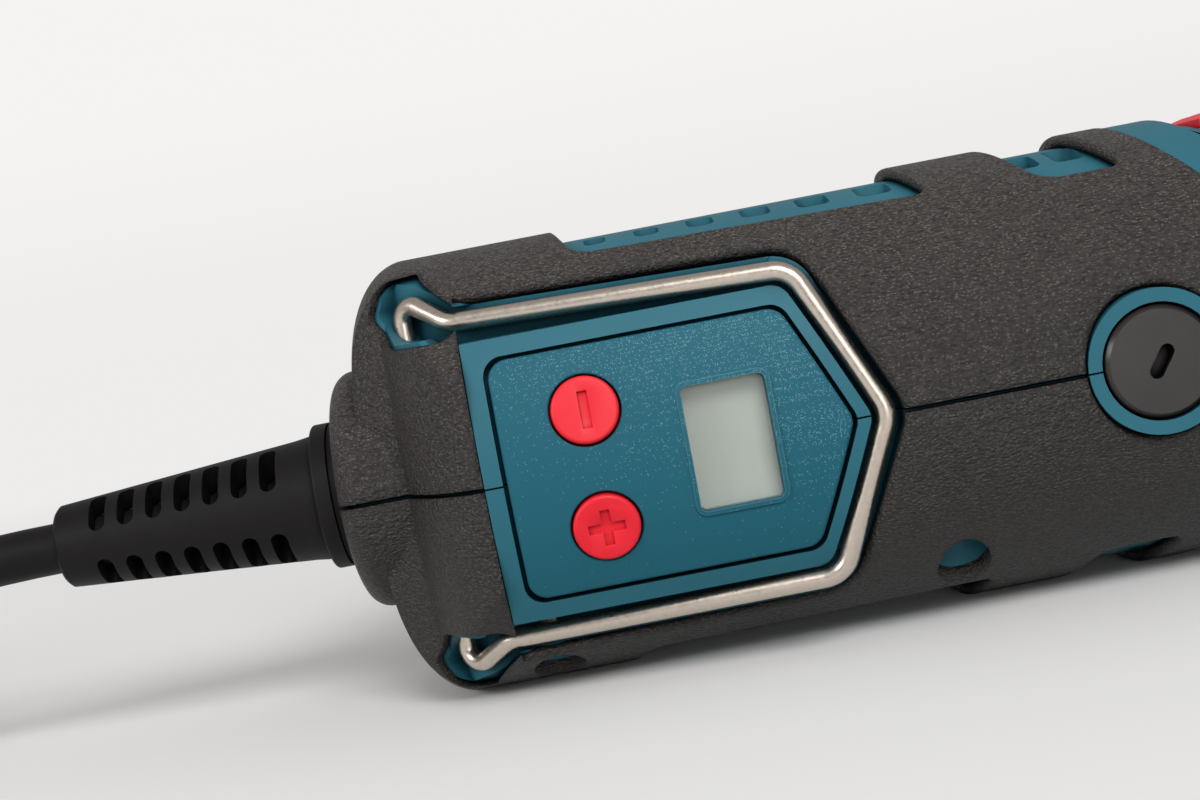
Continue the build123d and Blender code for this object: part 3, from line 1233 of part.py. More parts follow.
def mains_plug(end, heading):
    """Flat two-pin plug at the end of the lead, with its pins."""
    neck_r = CORD_R + 1.4
    width = PLUG_W / 2
    root = neck_r + 1
    flare = PLUG_NECK_L + 9
    face = PLUG_NECK_L + PLUG_L
    outline = Polygon((PLUG_NECK_L, -root), (flare, -9.5), (face - 10, 1 - width), (face, -width),
                      (face, width), (face - 10, width - 1), (flare, 9.5), (PLUG_NECK_L, root),
                      align=None)
    body = extrude(outline, PLUG_T / 2, both=True)
    body = fillet(body.edges().filter_by(Axis.Z), 1.5)
    body = chamfer(body.faces().sort_by(Axis.Z)[-1].edges() + body.faces().sort_by(Axis.Z)[0].edges(), 1.2)
    neck = turned((0, 0), (0, CORD_R + 0.6), (PLUG_NECK_L + 2, neck_r + 0.8), (PLUG_NECK_L + 2, 0))
    body += neck
    pins = []
    for side in (1, -1):
        body -= Pos(0, side * PIN_SPACE / 2, 0) * rod(face - PIN_ROOT_L, face + 1, PIN_ROOT_R + PRESS)
        pin = rod(face, face + PIN_L, PIN_R)
        pin = fillet(pin.edges().filter_by(GeomType.CIRCLE).sort_by(Axis.X)[-1], PIN_R - 0.5)
        pin += rod(face - PIN_ROOT_L, face + 1, PIN_ROOT_R)
        pins.append(Pos(0, side * PIN_SPACE / 2, 0) * pin)
    place = Pos(*end) * Rot(0, 0, degrees(atan2(heading.Y, heading.X)))
    return place * body, [place * pin for pin in pins]


def export(name, *solids):
    """Write one node, set in its place on the floor."""
    placed = [PLACE * solid for shape in solids for solid in shape.solids()]
    export_step(placed[0] if len(placed) == 1 else Compound(children=placed), f"parts/{name}.step")


def main():
    os.makedirs("parts", exist_ok=True)
    upper, lower = housing()
    export("housing_upper", upper)
    export("housing_lower", lower)
    rubber_upper, rubber_lower = grip()
    export("grip_upper", rubber_upper)
    export("grip_lower", rubber_lower)
    front_upper, front_lower = front_grip()
    export("front_grip_upper", front_upper)
    export("front_grip_lower", front_lower)
    export("display_bezel", display_bezel())
    export("lcd_lens", lcd_lens())
    export("lcd_module", lcd_module())
    export("control_board", control_board())
    export("tact_switches", *tact_switches())
    export("minus_button", button(1))
    export("plus_button", button(-1))
    export("hanging_bail", hanging_bail())
    caps, holders, brushes, springs = brush_gear()
    export("brush_caps", *caps)
    export("brush_holders", *holders)
    export("carbon_brushes", *brushes)
    export("brush_springs", *springs)
    core, coils = stator()
    export("stator_core", core)
    export("field_coils", *coils)
    export("spindle", spindle())
    export("commutator", commutator())
    armature_core, winding = armature()
    export("armature_core", armature_core)
    export("armature_winding", winding)
    export("cooling_fan", cooling_fan())
    rear, front, cup = bearings()
    export("rear_bearing", rear)
    export("front_bearing", front)
    export("rear_bearing_cup", cup)
    export("air_baffle", air_baffle())
    export("power_slider", power_slider())
    export("switch_bar", switch_bar())
    export("switch_block", switch_block())
    export("lock_button", lock_button())
    export("lock_spring", lock_spring())
    export("collet", collet())
    export("collet_nut", collet_nut())
    export("nose_cap", nose_cap())
    export("housing_screws", *housing_screws())
    clamp, clamp_screws = cord_clamp()
    export("cord_clamp", clamp)
    export("clamp_screws", *clamp_screws)
    export("strain_relief", strain_relief())
    export("inner_cord", rod(RELIEF_X, CLAMP_X + CLAMP_L, CORD_R))
    export("mains_cord", lead_tube("free stretch", ROUTE))
    hank, hank_end, heading = cord_hank()
    export("cord_hank", hank)
    plug, pins = mains_plug(hank_end, heading)
    export("mains_plug", plug)
    export("plug_pins", *pins)


main()
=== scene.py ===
from math import asin, cos, pi, radians, sin

import bmesh
import bpy
from mathutils import Matrix, Vector


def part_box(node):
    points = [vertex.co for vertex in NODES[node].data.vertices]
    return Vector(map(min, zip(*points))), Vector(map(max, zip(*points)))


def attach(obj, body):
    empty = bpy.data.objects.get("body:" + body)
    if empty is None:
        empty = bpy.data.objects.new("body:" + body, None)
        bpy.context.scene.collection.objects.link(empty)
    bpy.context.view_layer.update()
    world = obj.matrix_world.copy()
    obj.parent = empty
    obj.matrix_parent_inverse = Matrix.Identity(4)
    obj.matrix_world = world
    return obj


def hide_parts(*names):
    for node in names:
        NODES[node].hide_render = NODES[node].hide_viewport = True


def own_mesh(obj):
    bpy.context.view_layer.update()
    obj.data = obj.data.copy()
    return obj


# A corded rotary tool lying on a pale table, seen close to its lead end.
# Metres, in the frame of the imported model: x to the nose, -y to the display side, z up from the table.
# The sizes of pieces are in millimetres, with x counted from the rear edge of the display panel.

MM = 0.001

# Camera
CAMERA_PLACE = Vector((-54.798, -193.421, 45.904)) * MM
CAMERA_TURN = Vector((0.074, -0.19, 0.019))  # rotation vector, in radians
CAMERA_LENS = 47.475                         # mm
SENSOR_W = 36                                # mm
NEAREST_SEEN = 0.01                          # m

# Lamps: name, place, target, side of the square in metres, and watts
LAMPS = (
    ("key_softbox", (0.30, -1.26, 1.02), (0.0, 0.0, 0.0), 0.68, 13.7),
    ("left_softbox", (-1.10, -0.70, 0.56), (-0.05, 0.0, 0.03), 0.48, 6.3),
    ("low_fill", (0.20, -1.20, 0.12), (0.0, 0.0, 0.03), 0.40, 2.0),
)

# Table and surround, in metres
TABLE_SIZE = 8
TABLE_DROP = 0.0002    # below the tool, so that the two don't touch
FADE_FROM = 0.1        # distances over which the table turns into the background
FADE_TO = 0.55
HORIZON = "edecea"
ABOVE = "f4f3f1"
SWEEP_RISE = 0.16      # upward share of the view's direction where the background has its upper tone
SURROUND = "f2f1f0"
SURROUND_LIGHT = 0.44

# Tool axis in the frame, and where x = 0 of the display panel lies
PANEL_X = -66.7
AXIS_Z = 26.0

# Lead: millimetres from the panel's rear edge and about the axis
CORD_R = 3.1
RELIEF_END = -53.2
CLAMP_END = 3.0
ROUTE_SHARE = ((RELIEF_END, 0), (-67, 0), (-80.5, 0.145), (-94, 0.45), (-107.5, 0.765), (-121, 0.95),
               (-134, 1), (-146, 1))
SHEATH_ROUND = 0.4    # edge of the sheath at the clamp
SHEATH_T = 0.9
STRIPPED = 1.2        # depth to which its end is bared

# Hank that the lead is put away in
HANK_LAYERS = 4
HANK_FOLDS = 3        # in each layer
HANK_R = 25.65        # widest fold
HANK_PITCH = 7.05
HANK_RISE = 6.75
HANK_RUN = 70.5
HANK_WAIST = 5.0
HANK_Y = -3.5
HANK_Z = -22.0
HANK_NEAR = -152.2    # near end of its runs
PLUG_CLIMB = 10.05    # up to the plug, which lies on the hank
RUN_SHARES = (0.12, 0.34, 0.5, 0.66, 0.88)  # where a run has its control points
FOLD_STEPS = 8

# Tie of the hank: a box across the tool without two of its corners, one below and one beside the plug
TIE_W = 14.0
TIE_T = 0.7
TIE_LIFT = 0.1        # above the table
TIE_LEFT = -27.3
TIE_RIGHT = 30.6
TIE_TOP = 41.6        # above the table
LOW_CUT_Y = 20.4      # where the cut below meets the underside
LOW_CUT_Z = 2.0       # and the right side, about the axis
TOP_CUT_Y = -0.5      # where the cut beside the plug meets the top
TOP_CUT_Z = 7.2       # and the left side, about the axis
TIE_ROUND = 4.0

# Buttons
BUTTON_X = 12.1
BUTTON_Z = 6.44
FACE_R = 34.5         # curve across the panel
FACE_AXIS_Y = 9.25    # its axis, behind the tool's
BUTTON_PROUD = 0.35
SIGN_DEPTH = 0.45
SIGN_W = 1.05
SIGN_ARM = 1.5        # past the crossing
SIGN_ROUND = 0.06
SIGN_EDGE = radians(40)  # least angle of an edge that is rounded
MINUS_ARMS = ((0, 0, 1), (0, 0, -1))
PLUS_ARMS = MINUS_ARMS + ((1, 0, 0), (-1, 0, 0))

# Collar of the strain relief
COLLAR_R = 8.9
COLLAR_BORE_R = 7.0   # within the wall of the sleeve
COLLAR_FROM = -21.0
COLLAR_TO = -19.0
COLLAR_ROUND = 0.4

# Return spring of the spindle lock
SPRING_WIRE_R = 0.3
SPRING_TURNS = 3
SPRING_SIDES = 12     # of the wire
SPRING_STEPS = 24     # in a turn

# Modelling: how far a normal has to point along an axis, and what counts as one point or one plane
FACING = 0.9
FULLY_FACING = 0.99
SAME_PLACE = 1e-6     # m
SAME_PLANE = radians(0.5)
SMOOTH_TO = radians(35)  # sharper edges stay crisp

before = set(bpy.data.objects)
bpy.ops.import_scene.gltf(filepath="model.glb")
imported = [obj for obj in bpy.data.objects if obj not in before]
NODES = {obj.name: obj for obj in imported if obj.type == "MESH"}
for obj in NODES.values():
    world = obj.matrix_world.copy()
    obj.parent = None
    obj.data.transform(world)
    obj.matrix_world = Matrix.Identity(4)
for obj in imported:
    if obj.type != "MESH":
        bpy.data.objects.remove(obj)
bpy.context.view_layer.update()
bpy.ops.object.select_all(action="DESELECT")


def at(x, y, z):
    """Point in the frame from millimetres about the tool axis and the panel's rear edge."""
    return Vector((x + PANEL_X, y, z + AXIS_Z)) * MM


def linear(code):
    """sRGB hex colour as linear red, green, blue and alpha."""
    parts = [int(code[i:i + 2], 16) / 255 for i in (0, 2, 4)]
    return [p / 12.92 if p <= 0.04045 else ((p + 0.055) / 1.055) ** 2.4 for p in parts] + [1]


def per(size):
    """Texture scale whose pattern repeats about every size millimetres."""
    return 1 / (size * MM)


def finish(name):
    """Empty material and its node tree."""
    made = bpy.data.materials.new(name)
    made.use_nodes = True
    made.node_tree.nodes.clear()
    return made, made.node_tree


def add(tree, kind, inputs, **settings):
    """Adds a node with its settings, and sets or links its inputs by name or number.

    A MapRange takes its value at 0, the range it comes from at 1 and 2, and the range it goes to at 3 and 4.
    A Mix takes the share at 0 and its two colours at 6 and 7.
    """
    node = tree.nodes.new("ShaderNode" + kind)
    for name, value in settings.items():
        setattr(node, name, value)
    for name, value in inputs.items():
        if isinstance(value, bpy.types.NodeSocket):
            tree.links.new(value, node.inputs[name])
        else:
            node.inputs[name].default_value = value
    return node


def place_camera():
    """Camera at the place and turn from which the tool is seen."""
    data = bpy.data.cameras.new("photo_camera")
    data.lens = CAMERA_LENS
    data.sensor_width = SENSOR_W
    data.clip_start = NEAREST_SEEN
    camera = bpy.data.objects.new("photo_camera", data)
    bpy.context.collection.objects.link(camera)
    turn = Matrix.Rotation(-CAMERA_TURN.length, 4, CAMERA_TURN.normalized())
    camera.matrix_world = Matrix.Translation(CAMERA_PLACE) @ turn @ Matrix.Rotation(pi / 2, 4, "X")
    bpy.context.scene.camera = camera


def hank_fold(count):
    """Radius of a fold of the hank and the climb of the run before it, counted from the table up."""
    layer, fold = divmod(count, HANK_FOLDS)
    step = HANK_FOLDS - 1 - fold if layer % 2 else fold
    climb = HANK_RISE if layer and not fold else 0
    if count == HANK_LAYERS * HANK_FOLDS - 1:
        return HANK_R - HANK_PITCH / 2, PLUG_CLIMB
    return HANK_R - HANK_PITCH / 2 * step, climb


def hank_points():
    """Control points of the hank: runs drawn in at the tie, joined by round folds, layer on layer."""
    points = []
    here = Vector((HANK_NEAR, HANK_Y + HANK_R, HANK_Z))
    heading = Vector((-1, 0, 0))
    for count in range(HANK_LAYERS * HANK_FOLDS):
        radius, climb = hank_fold(count)
        side = Vector((0, 1 if here.y > HANK_Y else -1, 0))
        for share in RUN_SHARES:
            drawn = HANK_WAIST * sin(pi * share) ** 2
            rise = climb * (share - sin(2 * pi * share) / (2 * pi))
            points.append(here + heading * HANK_RUN * share - side * drawn + Vector((0, 0, rise)))
        end = here + heading * HANK_RUN + Vector((0, 0, climb))
        for step in range(FOLD_STEPS + 1):
            angle = pi * step / FOLD_STEPS
            points.append(end + heading * radius * sin(angle) - side * radius * (1 - cos(angle)))
        here = end - side * 2 * radius
        heading = -heading
    return points + [here + heading * CORD_R, here + heading * 2 * CORD_R]


def lead_points():
    """Control points of the lead from the strain relief, through the hank, to the plug."""
    route = [Vector((x, (HANK_Y + HANK_R) * share, HANK_Z * share)) for x, share in ROUTE_SHARE]
    return [at(*p) for p in route + hank_points()]


def mains_lead(finish_of, cloth):
    """The lead at its full length, as one smooth line."""
    points = lead_points()
    curve = bpy.data.curves.new("mains_lead", "CURVE")
    curve.dimensions = "3D"
    curve.bevel_depth = CORD_R * MM
    curve.bevel_resolution = 6
    curve.resolution_u = 6
    curve.use_fill_caps = True
    line = curve.splines.new("NURBS")
    line.points.add(len(points) - 1)
    for spot, point in zip(line.points, points):
        spot.co = (*point, 1)
    line.order_u = 3
    line.use_endpoint_u = True
    line.use_smooth = True
    lead = bpy.data.objects.new("mains_lead", curve)
    bpy.context.collection.objects.link(lead)
    curve.materials.append(finish_of)
    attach(lead, "body")
    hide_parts("mains_cord", "cord_hank")
    hank_tie(cloth)
    return lead


def in_edit(piece):
    """Opens one piece for modelling, with nothing else selected."""
    bpy.ops.object.select_all(action="DESELECT")
    piece.select_set(True)
    bpy.context.view_layer.objects.active = piece
    bpy.ops.object.mode_set(mode="EDIT")
    bpy.ops.mesh.select_all(action="DESELECT")


def begun(name):
    """Names the primitive just added, puts its place in its mesh and opens it for modelling."""
    piece = bpy.context.object
    piece.name = name
    bpy.ops.object.transform_apply(location=True, rotation=True, scale=True)
    in_edit(piece)
    return piece


def pick_faces(piece, wanted):
    """Selects the faces of the piece being modelled whose middle and normal are wanted."""
    bpy.ops.mesh.select_mode(type="FACE")
    mesh = bmesh.from_edit_mesh(piece.data)
    for face in mesh.faces:
        face.select_set(wanted(face.calc_center_median(), face.normal))
    mesh.select_flush_mode()
    bmesh.update_edit_mesh(piece.data)


def pick_edges(piece, wanted):
    """Selects the edges of the piece being modelled whose two ends are wanted."""
    bpy.ops.mesh.select_mode(type="EDGE")
    mesh = bmesh.from_edit_mesh(piece.data)
    for edge in mesh.edges:
        edge.select_set(wanted(edge.verts[0].co, edge.verts[1].co))
    mesh.select_flush_mode()
    bmesh.update_edit_mesh(piece.data)


def outwards():
    """Turns all faces of the piece being modelled outwards."""
    bpy.ops.mesh.select_all(action="SELECT")
    bpy.ops.mesh.normals_make_consistent(inside=False)


def settled(piece, finish_of, body):
    """Ends the modelling of a piece: place in its mesh, smooth faces, finish and body."""
    bpy.ops.object.mode_set(mode="OBJECT")
    bpy.ops.object.transform_apply(location=True, rotation=True, scale=True)
    for made in [m.name for m in piece.modifiers]:
        bpy.ops.object.modifier_apply(modifier=made)
    bpy.ops.object.shade_smooth_by_angle(angle=SMOOTH_TO)
    piece.data.materials.clear()
    piece.data.materials.append(finish_of)
    piece.select_set(False)
    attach(piece, body)
    return piece


def hank_tie(finish_of):
    """Cloth strap round the waist of the hank and over the plug that lies on it."""
    low = TIE_LIFT + TIE_T - AXIS_Z
    top = TIE_TOP - AXIS_Z
    middle = at(HANK_NEAR - HANK_RUN / 2, (TIE_LEFT + TIE_RIGHT) / 2, (low + top) / 2)
    size = Vector((TIE_W, TIE_RIGHT - TIE_LEFT, top - low)) * MM
    bpy.ops.mesh.primitive_cube_add(size=1, location=middle, scale=size)
    tie = begun("hank_tie")
    low_cut = ((LOW_CUT_Y, low), (TIE_RIGHT, LOW_CUT_Z))
    top_cut = ((TOP_CUT_Y, top), (TIE_LEFT, TOP_CUT_Z))
    for start, end in (low_cut, top_cut):
        bpy.ops.mesh.select_all(action="SELECT")
        spot = at(HANK_NEAR, *start)
        along = at(HANK_NEAR, *end) - spot
        bpy.ops.mesh.bisect(plane_co=spot, plane_no=(0, along.z, -along.y), clear_outer=True)
        bpy.ops.mesh.edge_face_add()
    pick_faces(tie, lambda middle, normal: abs(normal.x) > FACING)
    bpy.ops.mesh.delete(type="FACE")
    pick_edges(tie, lambda a, b: abs(a.x - b.x) > TIE_W * MM / 2)
    bpy.ops.mesh.bevel(offset=TIE_ROUND * MM, segments=6)
    outwards()
    wall = tie.modifiers.new("cloth_thickness", "SOLIDIFY")
    wall.thickness = TIE_T * MM
    wall.offset = 1
    return settled(tie, finish_of, "body")


def inner_lead(finish_of):
    """Sheathed lead inside the strain relief, with its stripped end at the clamp."""
    bpy.ops.object.select_all(action="DESELECT")
    bpy.ops.mesh.primitive_cylinder_add(vertices=40, radius=CORD_R * MM, depth=(CLAMP_END - RELIEF_END) * MM,
                                        location=at((RELIEF_END + CLAMP_END) / 2, 0, 0),
                                        rotation=(0, pi / 2, 0))
    lead = begun("inner_lead")
    pick_faces(lead, lambda middle, normal: normal.x > FACING)
    bpy.ops.mesh.bevel(offset=SHEATH_ROUND * MM, segments=3)
    pick_faces(lead, lambda middle, normal: normal.x > FACING)
    bpy.ops.mesh.inset(thickness=SHEATH_T * MM)
    bpy.ops.mesh.extrude_region_move(TRANSFORM_OT_translate={"value": (-STRIPPED * MM, 0, 0)})
    settled(lead, finish_of, "body")
    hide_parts("inner_cord")
    return lead


def relief_collar(finish_of):
    """Collar of the strain relief, a rounded ring at the back of its flange."""
    bpy.ops.object.select_all(action="DESELECT")
    bpy.ops.mesh.primitive_cylinder_add(vertices=64, radius=COLLAR_R * MM,
                                        depth=(COLLAR_TO - COLLAR_FROM) * MM,
                                        location=at((COLLAR_FROM + COLLAR_TO) / 2, 0, 0),
                                        rotation=(0, pi / 2, 0))
    collar = begun("relief_collar")
    pick_faces(collar, lambda middle, normal: normal.x < -FACING)
    bpy.ops.mesh.bevel(offset=COLLAR_ROUND * MM, segments=4)
    pick_faces(collar, lambda middle, normal: normal.x < -FULLY_FACING)
    bpy.ops.mesh.inset(thickness=(COLLAR_R - COLLAR_ROUND - COLLAR_BORE_R) * MM)
    bpy.ops.mesh.delete(type="FACE")
    pick_faces(collar, lambda middle, normal: normal.x > FACING)
    bpy.ops.mesh.inset(thickness=(COLLAR_R - COLLAR_BORE_R) * MM)
    bpy.ops.mesh.delete(type="FACE")
    # The two rims of the bore are the only edges that lie nearer to the axis than halfway out
    halfway = (COLLAR_BORE_R + COLLAR_R - COLLAR_ROUND) / 2 * MM
    axis = at(0, 0, 0)
    pick_edges(collar, lambda a, b: max((p - axis).yz.length for p in (a, b)) < halfway)
    bpy.ops.mesh.bridge_edge_loops()
    outwards()
    return settled(collar, finish_of, "body")


def return_spring(finish_of):
    """Coiled return spring round the lock pin, fixed to the body."""
    low, high = (Vector(corner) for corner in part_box("lock_spring"))
    wire = SPRING_WIRE_R * MM
    bpy.ops.object.select_all(action="DESELECT")
    bpy.ops.mesh.primitive_circle_add(vertices=SPRING_SIDES, radius=wire, rotation=(pi / 2, 0, 0),
                                      location=((high.x - low.x) / 2 - wire, 0, 0))
    spring = bpy.context.object
    spring.name = "lock_return_spring"
    bpy.ops.object.transform_apply(location=True, rotation=True, scale=True)
    coils = spring.modifiers.new("coils", "SCREW")
    coils.angle = 2 * pi * SPRING_TURNS
    coils.screw_offset = high.z - low.z - 2 * wire
    coils.steps = SPRING_STEPS * SPRING_TURNS
    coils.render_steps = SPRING_STEPS * SPRING_TURNS
    bpy.ops.object.modifier_apply(modifier=coils.name)
    foot = Vector(((low.x + high.x) / 2, (low.y + high.y) / 2, low.z))
    spring.location = foot + Vector((0, 0, wire))
    in_edit(spring)
    bpy.ops.mesh.select_all(action="SELECT")
    bpy.ops.mesh.fill_holes(sides=0)
    outwards()
    settled(spring, finish_of, "body")
    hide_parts("lock_spring")
    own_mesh(spring)
    return spring


def sign_cutter(side, arms):
    """Block with the arms of a sign, placed half into the face of a button."""
    tilt = asin(BUTTON_Z / FACE_R)
    face = FACE_R + BUTTON_PROUD
    bpy.ops.mesh.primitive_cube_add(size=1, scale=(SIGN_W * MM, 2 * SIGN_DEPTH * MM, SIGN_W * MM))
    cutter = begun("sign_cutter")
    for arm in arms:
        way = Vector(arm)
        pick_faces(cutter, lambda middle, normal: (normal.dot(way) > FACING
                                                   and middle.cross(way).length < SAME_PLACE))
        bpy.ops.mesh.extrude_region_move(TRANSFORM_OT_translate={"value": way * SIGN_ARM * MM})
    bpy.ops.object.mode_set(mode="OBJECT")
    cutter.location = at(BUTTON_X, FACE_AXIS_Y - face * cos(tilt), side * face * sin(tilt))
    cutter.rotation_euler = (-side * tilt, 0, 0)
    return cutter


def engraved_key(node, side, arms, finish_of):
    """A speed button with its sign sunk into its face."""
    cutter = sign_cutter(side, arms)
    key = NODES[node].copy()
    key.data = key.data.copy()
    key.name = node + "_signed"
    key.parent = None
    for tag in [tag for tag in key.keys() if tag.startswith("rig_")]:
        del key[tag]
    bpy.context.collection.objects.link(key)
    in_edit(key)
    bpy.ops.mesh.select_all(action="SELECT")
    bpy.ops.mesh.remove_doubles(threshold=SAME_PLACE)
    bpy.ops.mesh.dissolve_limited(angle_limit=SAME_PLANE)
    bpy.ops.object.mode_set(mode="OBJECT")
    cut = key.modifiers.new("sign", "BOOLEAN")
    cut.object = cutter
    cut.operation = "DIFFERENCE"
    cut.solver = "EXACT"
    bpy.ops.object.modifier_apply(modifier=cut.name)
    bpy.data.objects.remove(cutter)
    soft = key.modifiers.new("soft_edges", "BEVEL")
    soft.width = SIGN_ROUND * MM
    soft.segments = 2
    soft.angle_limit = SIGN_EDGE
    settled(key, finish_of, "minus_key" if side > 0 else "plus_key")
    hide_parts(node)
    return key


def grained(tree, size, depth, strength, stretch=(1, 1, 1), soft=0.05):
    """Normal and height of a moulded grain: rounded pebbles over softened edges.

    The size and depth of the pebbles and the softness of the edges are in millimetres.
    """
    warp_share = 0.9  # of a pebble's size, by which noise moves it
    fine_share = 0.35
    place = add(tree, "TexCoord", {}).outputs["Object"]
    drawn = add(tree, "Mapping", {"Vector": place, "Scale": stretch}).outputs[0]
    warp = add(tree, "TexNoise", {"Vector": drawn, "Scale": per(size * 2), "Detail": 2}).outputs["Color"]
    reach = (size * MM * warp_share,) * 3
    moved = add(tree, "VectorMath", {0: warp, 1: reach}, operation="MULTIPLY").outputs[0]
    spot = add(tree, "VectorMath", {0: drawn, 1: moved}, operation="ADD").outputs[0]
    pebble = add(tree, "TexVoronoi", {"Vector": spot, "Scale": per(size)}, feature="SMOOTH_F1")
    fine = add(tree, "TexNoise", {"Vector": place, "Scale": per(size / 3), "Detail": 3}).outputs["Fac"]
    height = add(tree, "Math", {0: fine, 1: fine_share, 2: pebble.outputs["Distance"]},
                 operation="MULTIPLY_ADD").outputs[0]
    edges = add(tree, "Bevel", {"Radius": soft * MM}, samples=6).outputs[0]
    bump = add(tree, "Bump", {"Height": height, "Strength": strength, "Distance": depth * MM,
                              "Normal": edges}, invert=True)
    return bump.outputs[0], height


def painted_crease_shade(tree, shade, reach, dark, share, shine):
    """Painted shade: darker colour and less shine in creases and holes about reach millimetres wide."""
    free = add(tree, "AmbientOcclusion", {"Distance": reach * MM}, samples=8).outputs["AO"]
    shade_amount = add(tree, "MapRange", {0: free, 1: 0.9, 2: 0.35, 3: 0.0, 4: share}).outputs[0]
    shaded_colour = add(tree, "Mix", {0: shade_amount, 6: shade, 7: linear(dark)}, data_type="RGBA").outputs[2]
    return shaded_colour, add(tree, "MapRange", {0: shade_amount, 1: 0.0, 2: 1.0, 3: shine, 4: 0.0}).outputs[0]


def clouded(tree, dark, light, size, detail):
    """Two near tones in soft clouds of a size in millimetres."""
    place = add(tree, "TexCoord", {}).outputs["Object"]
    cloud = add(tree, "TexNoise", {"Vector": place, "Scale": per(size), "Detail": detail}).outputs["Fac"]
    return add(tree, "Mix", {0: cloud, 6: linear(dark), 7: linear(light)}, data_type="RGBA").outputs[2]


def rubber():
    """Moulded thermoplastic rubber: leathery pebbles on near-black, painted lighter where it faces up."""
    made, tree = finish("moulded_black_rubber")
    normal, height = grained(tree, size=0.26, depth=0.32, strength=1.0, stretch=(0.55, 1.0, 1.0), soft=1.2)
    place = add(tree, "TexCoord", {}).outputs["Object"]
    # Crests of the pebbles lighter, in clouds
    cloud = add(tree, "TexNoise", {"Vector": place, "Scale": per(9), "Detail": 4}).outputs["Fac"]
    crest = add(tree, "MapRange", {0: height, 1: 0.25, 2: 0.85, 3: 1.0, 4: 0.0}).outputs[0]
    tone = add(tree, "Math", {0: cloud, 1: 0.35, 2: crest}, operation="MULTIPLY_ADD", use_clamp=True)
    # Painted light: lighter where it faces up, near-black where it faces down
    facing = add(tree, "SeparateXYZ", {0: add(tree, "NewGeometry", {}).outputs["Normal"]}).outputs["Z"]
    painted_top_light = add(tree, "MapRange", {0: facing, 1: -0.8, 2: 0.9, 3: 0.05, 4: 1.0}).outputs[0]
    tone = add(tree, "Math", {0: tone.outputs[0], 1: painted_top_light}, operation="MULTIPLY").outputs[0]
    shade = add(tree, "Mix", {0: tone, 6: linear("0e0c0b"), 7: linear("443d3a")}, data_type="RGBA")
    # Painted glints: small pale specks in the colour of the grain, fainter where it faces down
    drawn = add(tree, "Mapping", {"Vector": place, "Scale": (0.5, 1, 1)}).outputs[0]
    glint_cells = add(tree, "TexVoronoi", {"Vector": drawn, "Scale": per(0.2)}, feature="F1")
    spark = add(tree, "Math", {0: glint_cells.outputs["Color"], 1: 0.56}, operation="GREATER_THAN").outputs[0]
    core = add(tree, "MapRange", {0: glint_cells.outputs["Distance"], 1: 0.1, 2: 0.48, 3: 0.62, 4: 0.0}).outputs[0]
    glint = add(tree, "Math", {0: spark, 1: core}, operation="MULTIPLY").outputs[0]
    glint = add(tree, "Math", {0: glint, 1: painted_top_light}, operation="MULTIPLY").outputs[0]
    shade = add(tree, "Mix", {0: glint, 6: shade.outputs[2], 7: linear("9a948e")}, data_type="RGBA")
    # Painted shade: darker and less shiny in creases and holes
    shade, sheen = painted_crease_shade(tree, shade.outputs[2], reach=2.0, dark="070606", share=0.8, shine=0.48)
    rough = add(tree, "MapRange", {0: height, 1: 0.2, 2: 0.9, 3: 0.25, 4: 0.55}).outputs[0]
    body = add(tree, "BsdfPrincipled", {"Base Color": shade, "Roughness": rough, "Specular IOR Level": sheen,
                                        "Normal": normal})
    add(tree, "OutputMaterial", {"Surface": body.outputs[0]})
    return made


def petrol_shell():
    """Spark-eroded moulded nylon: a fine even satin in petrol blue."""
    made, tree = finish("moulded_petrol_nylon")
    normal, height = grained(tree, size=0.22, depth=0.02, strength=0.35)
    shade = clouded(tree, "2b6676", "337181", size=12, detail=3)
    # Painted shade: darker and less shiny in vents, creases and holes
    shade, sheen = painted_crease_shade(tree, shade, reach=2.5, dark="0a2730", share=0.85, shine=0.18)
    rough = add(tree, "MapRange", {0: height, 1: 0.2, 2: 1.0, 3: 0.40, 4: 0.52}).outputs[0]
    body = add(tree, "BsdfPrincipled", {"Base Color": shade, "Roughness": rough, "Specular IOR Level": sheen,
                                        "Normal": normal})
    add(tree, "OutputMaterial", {"Surface": body.outputs[0]})
    return made


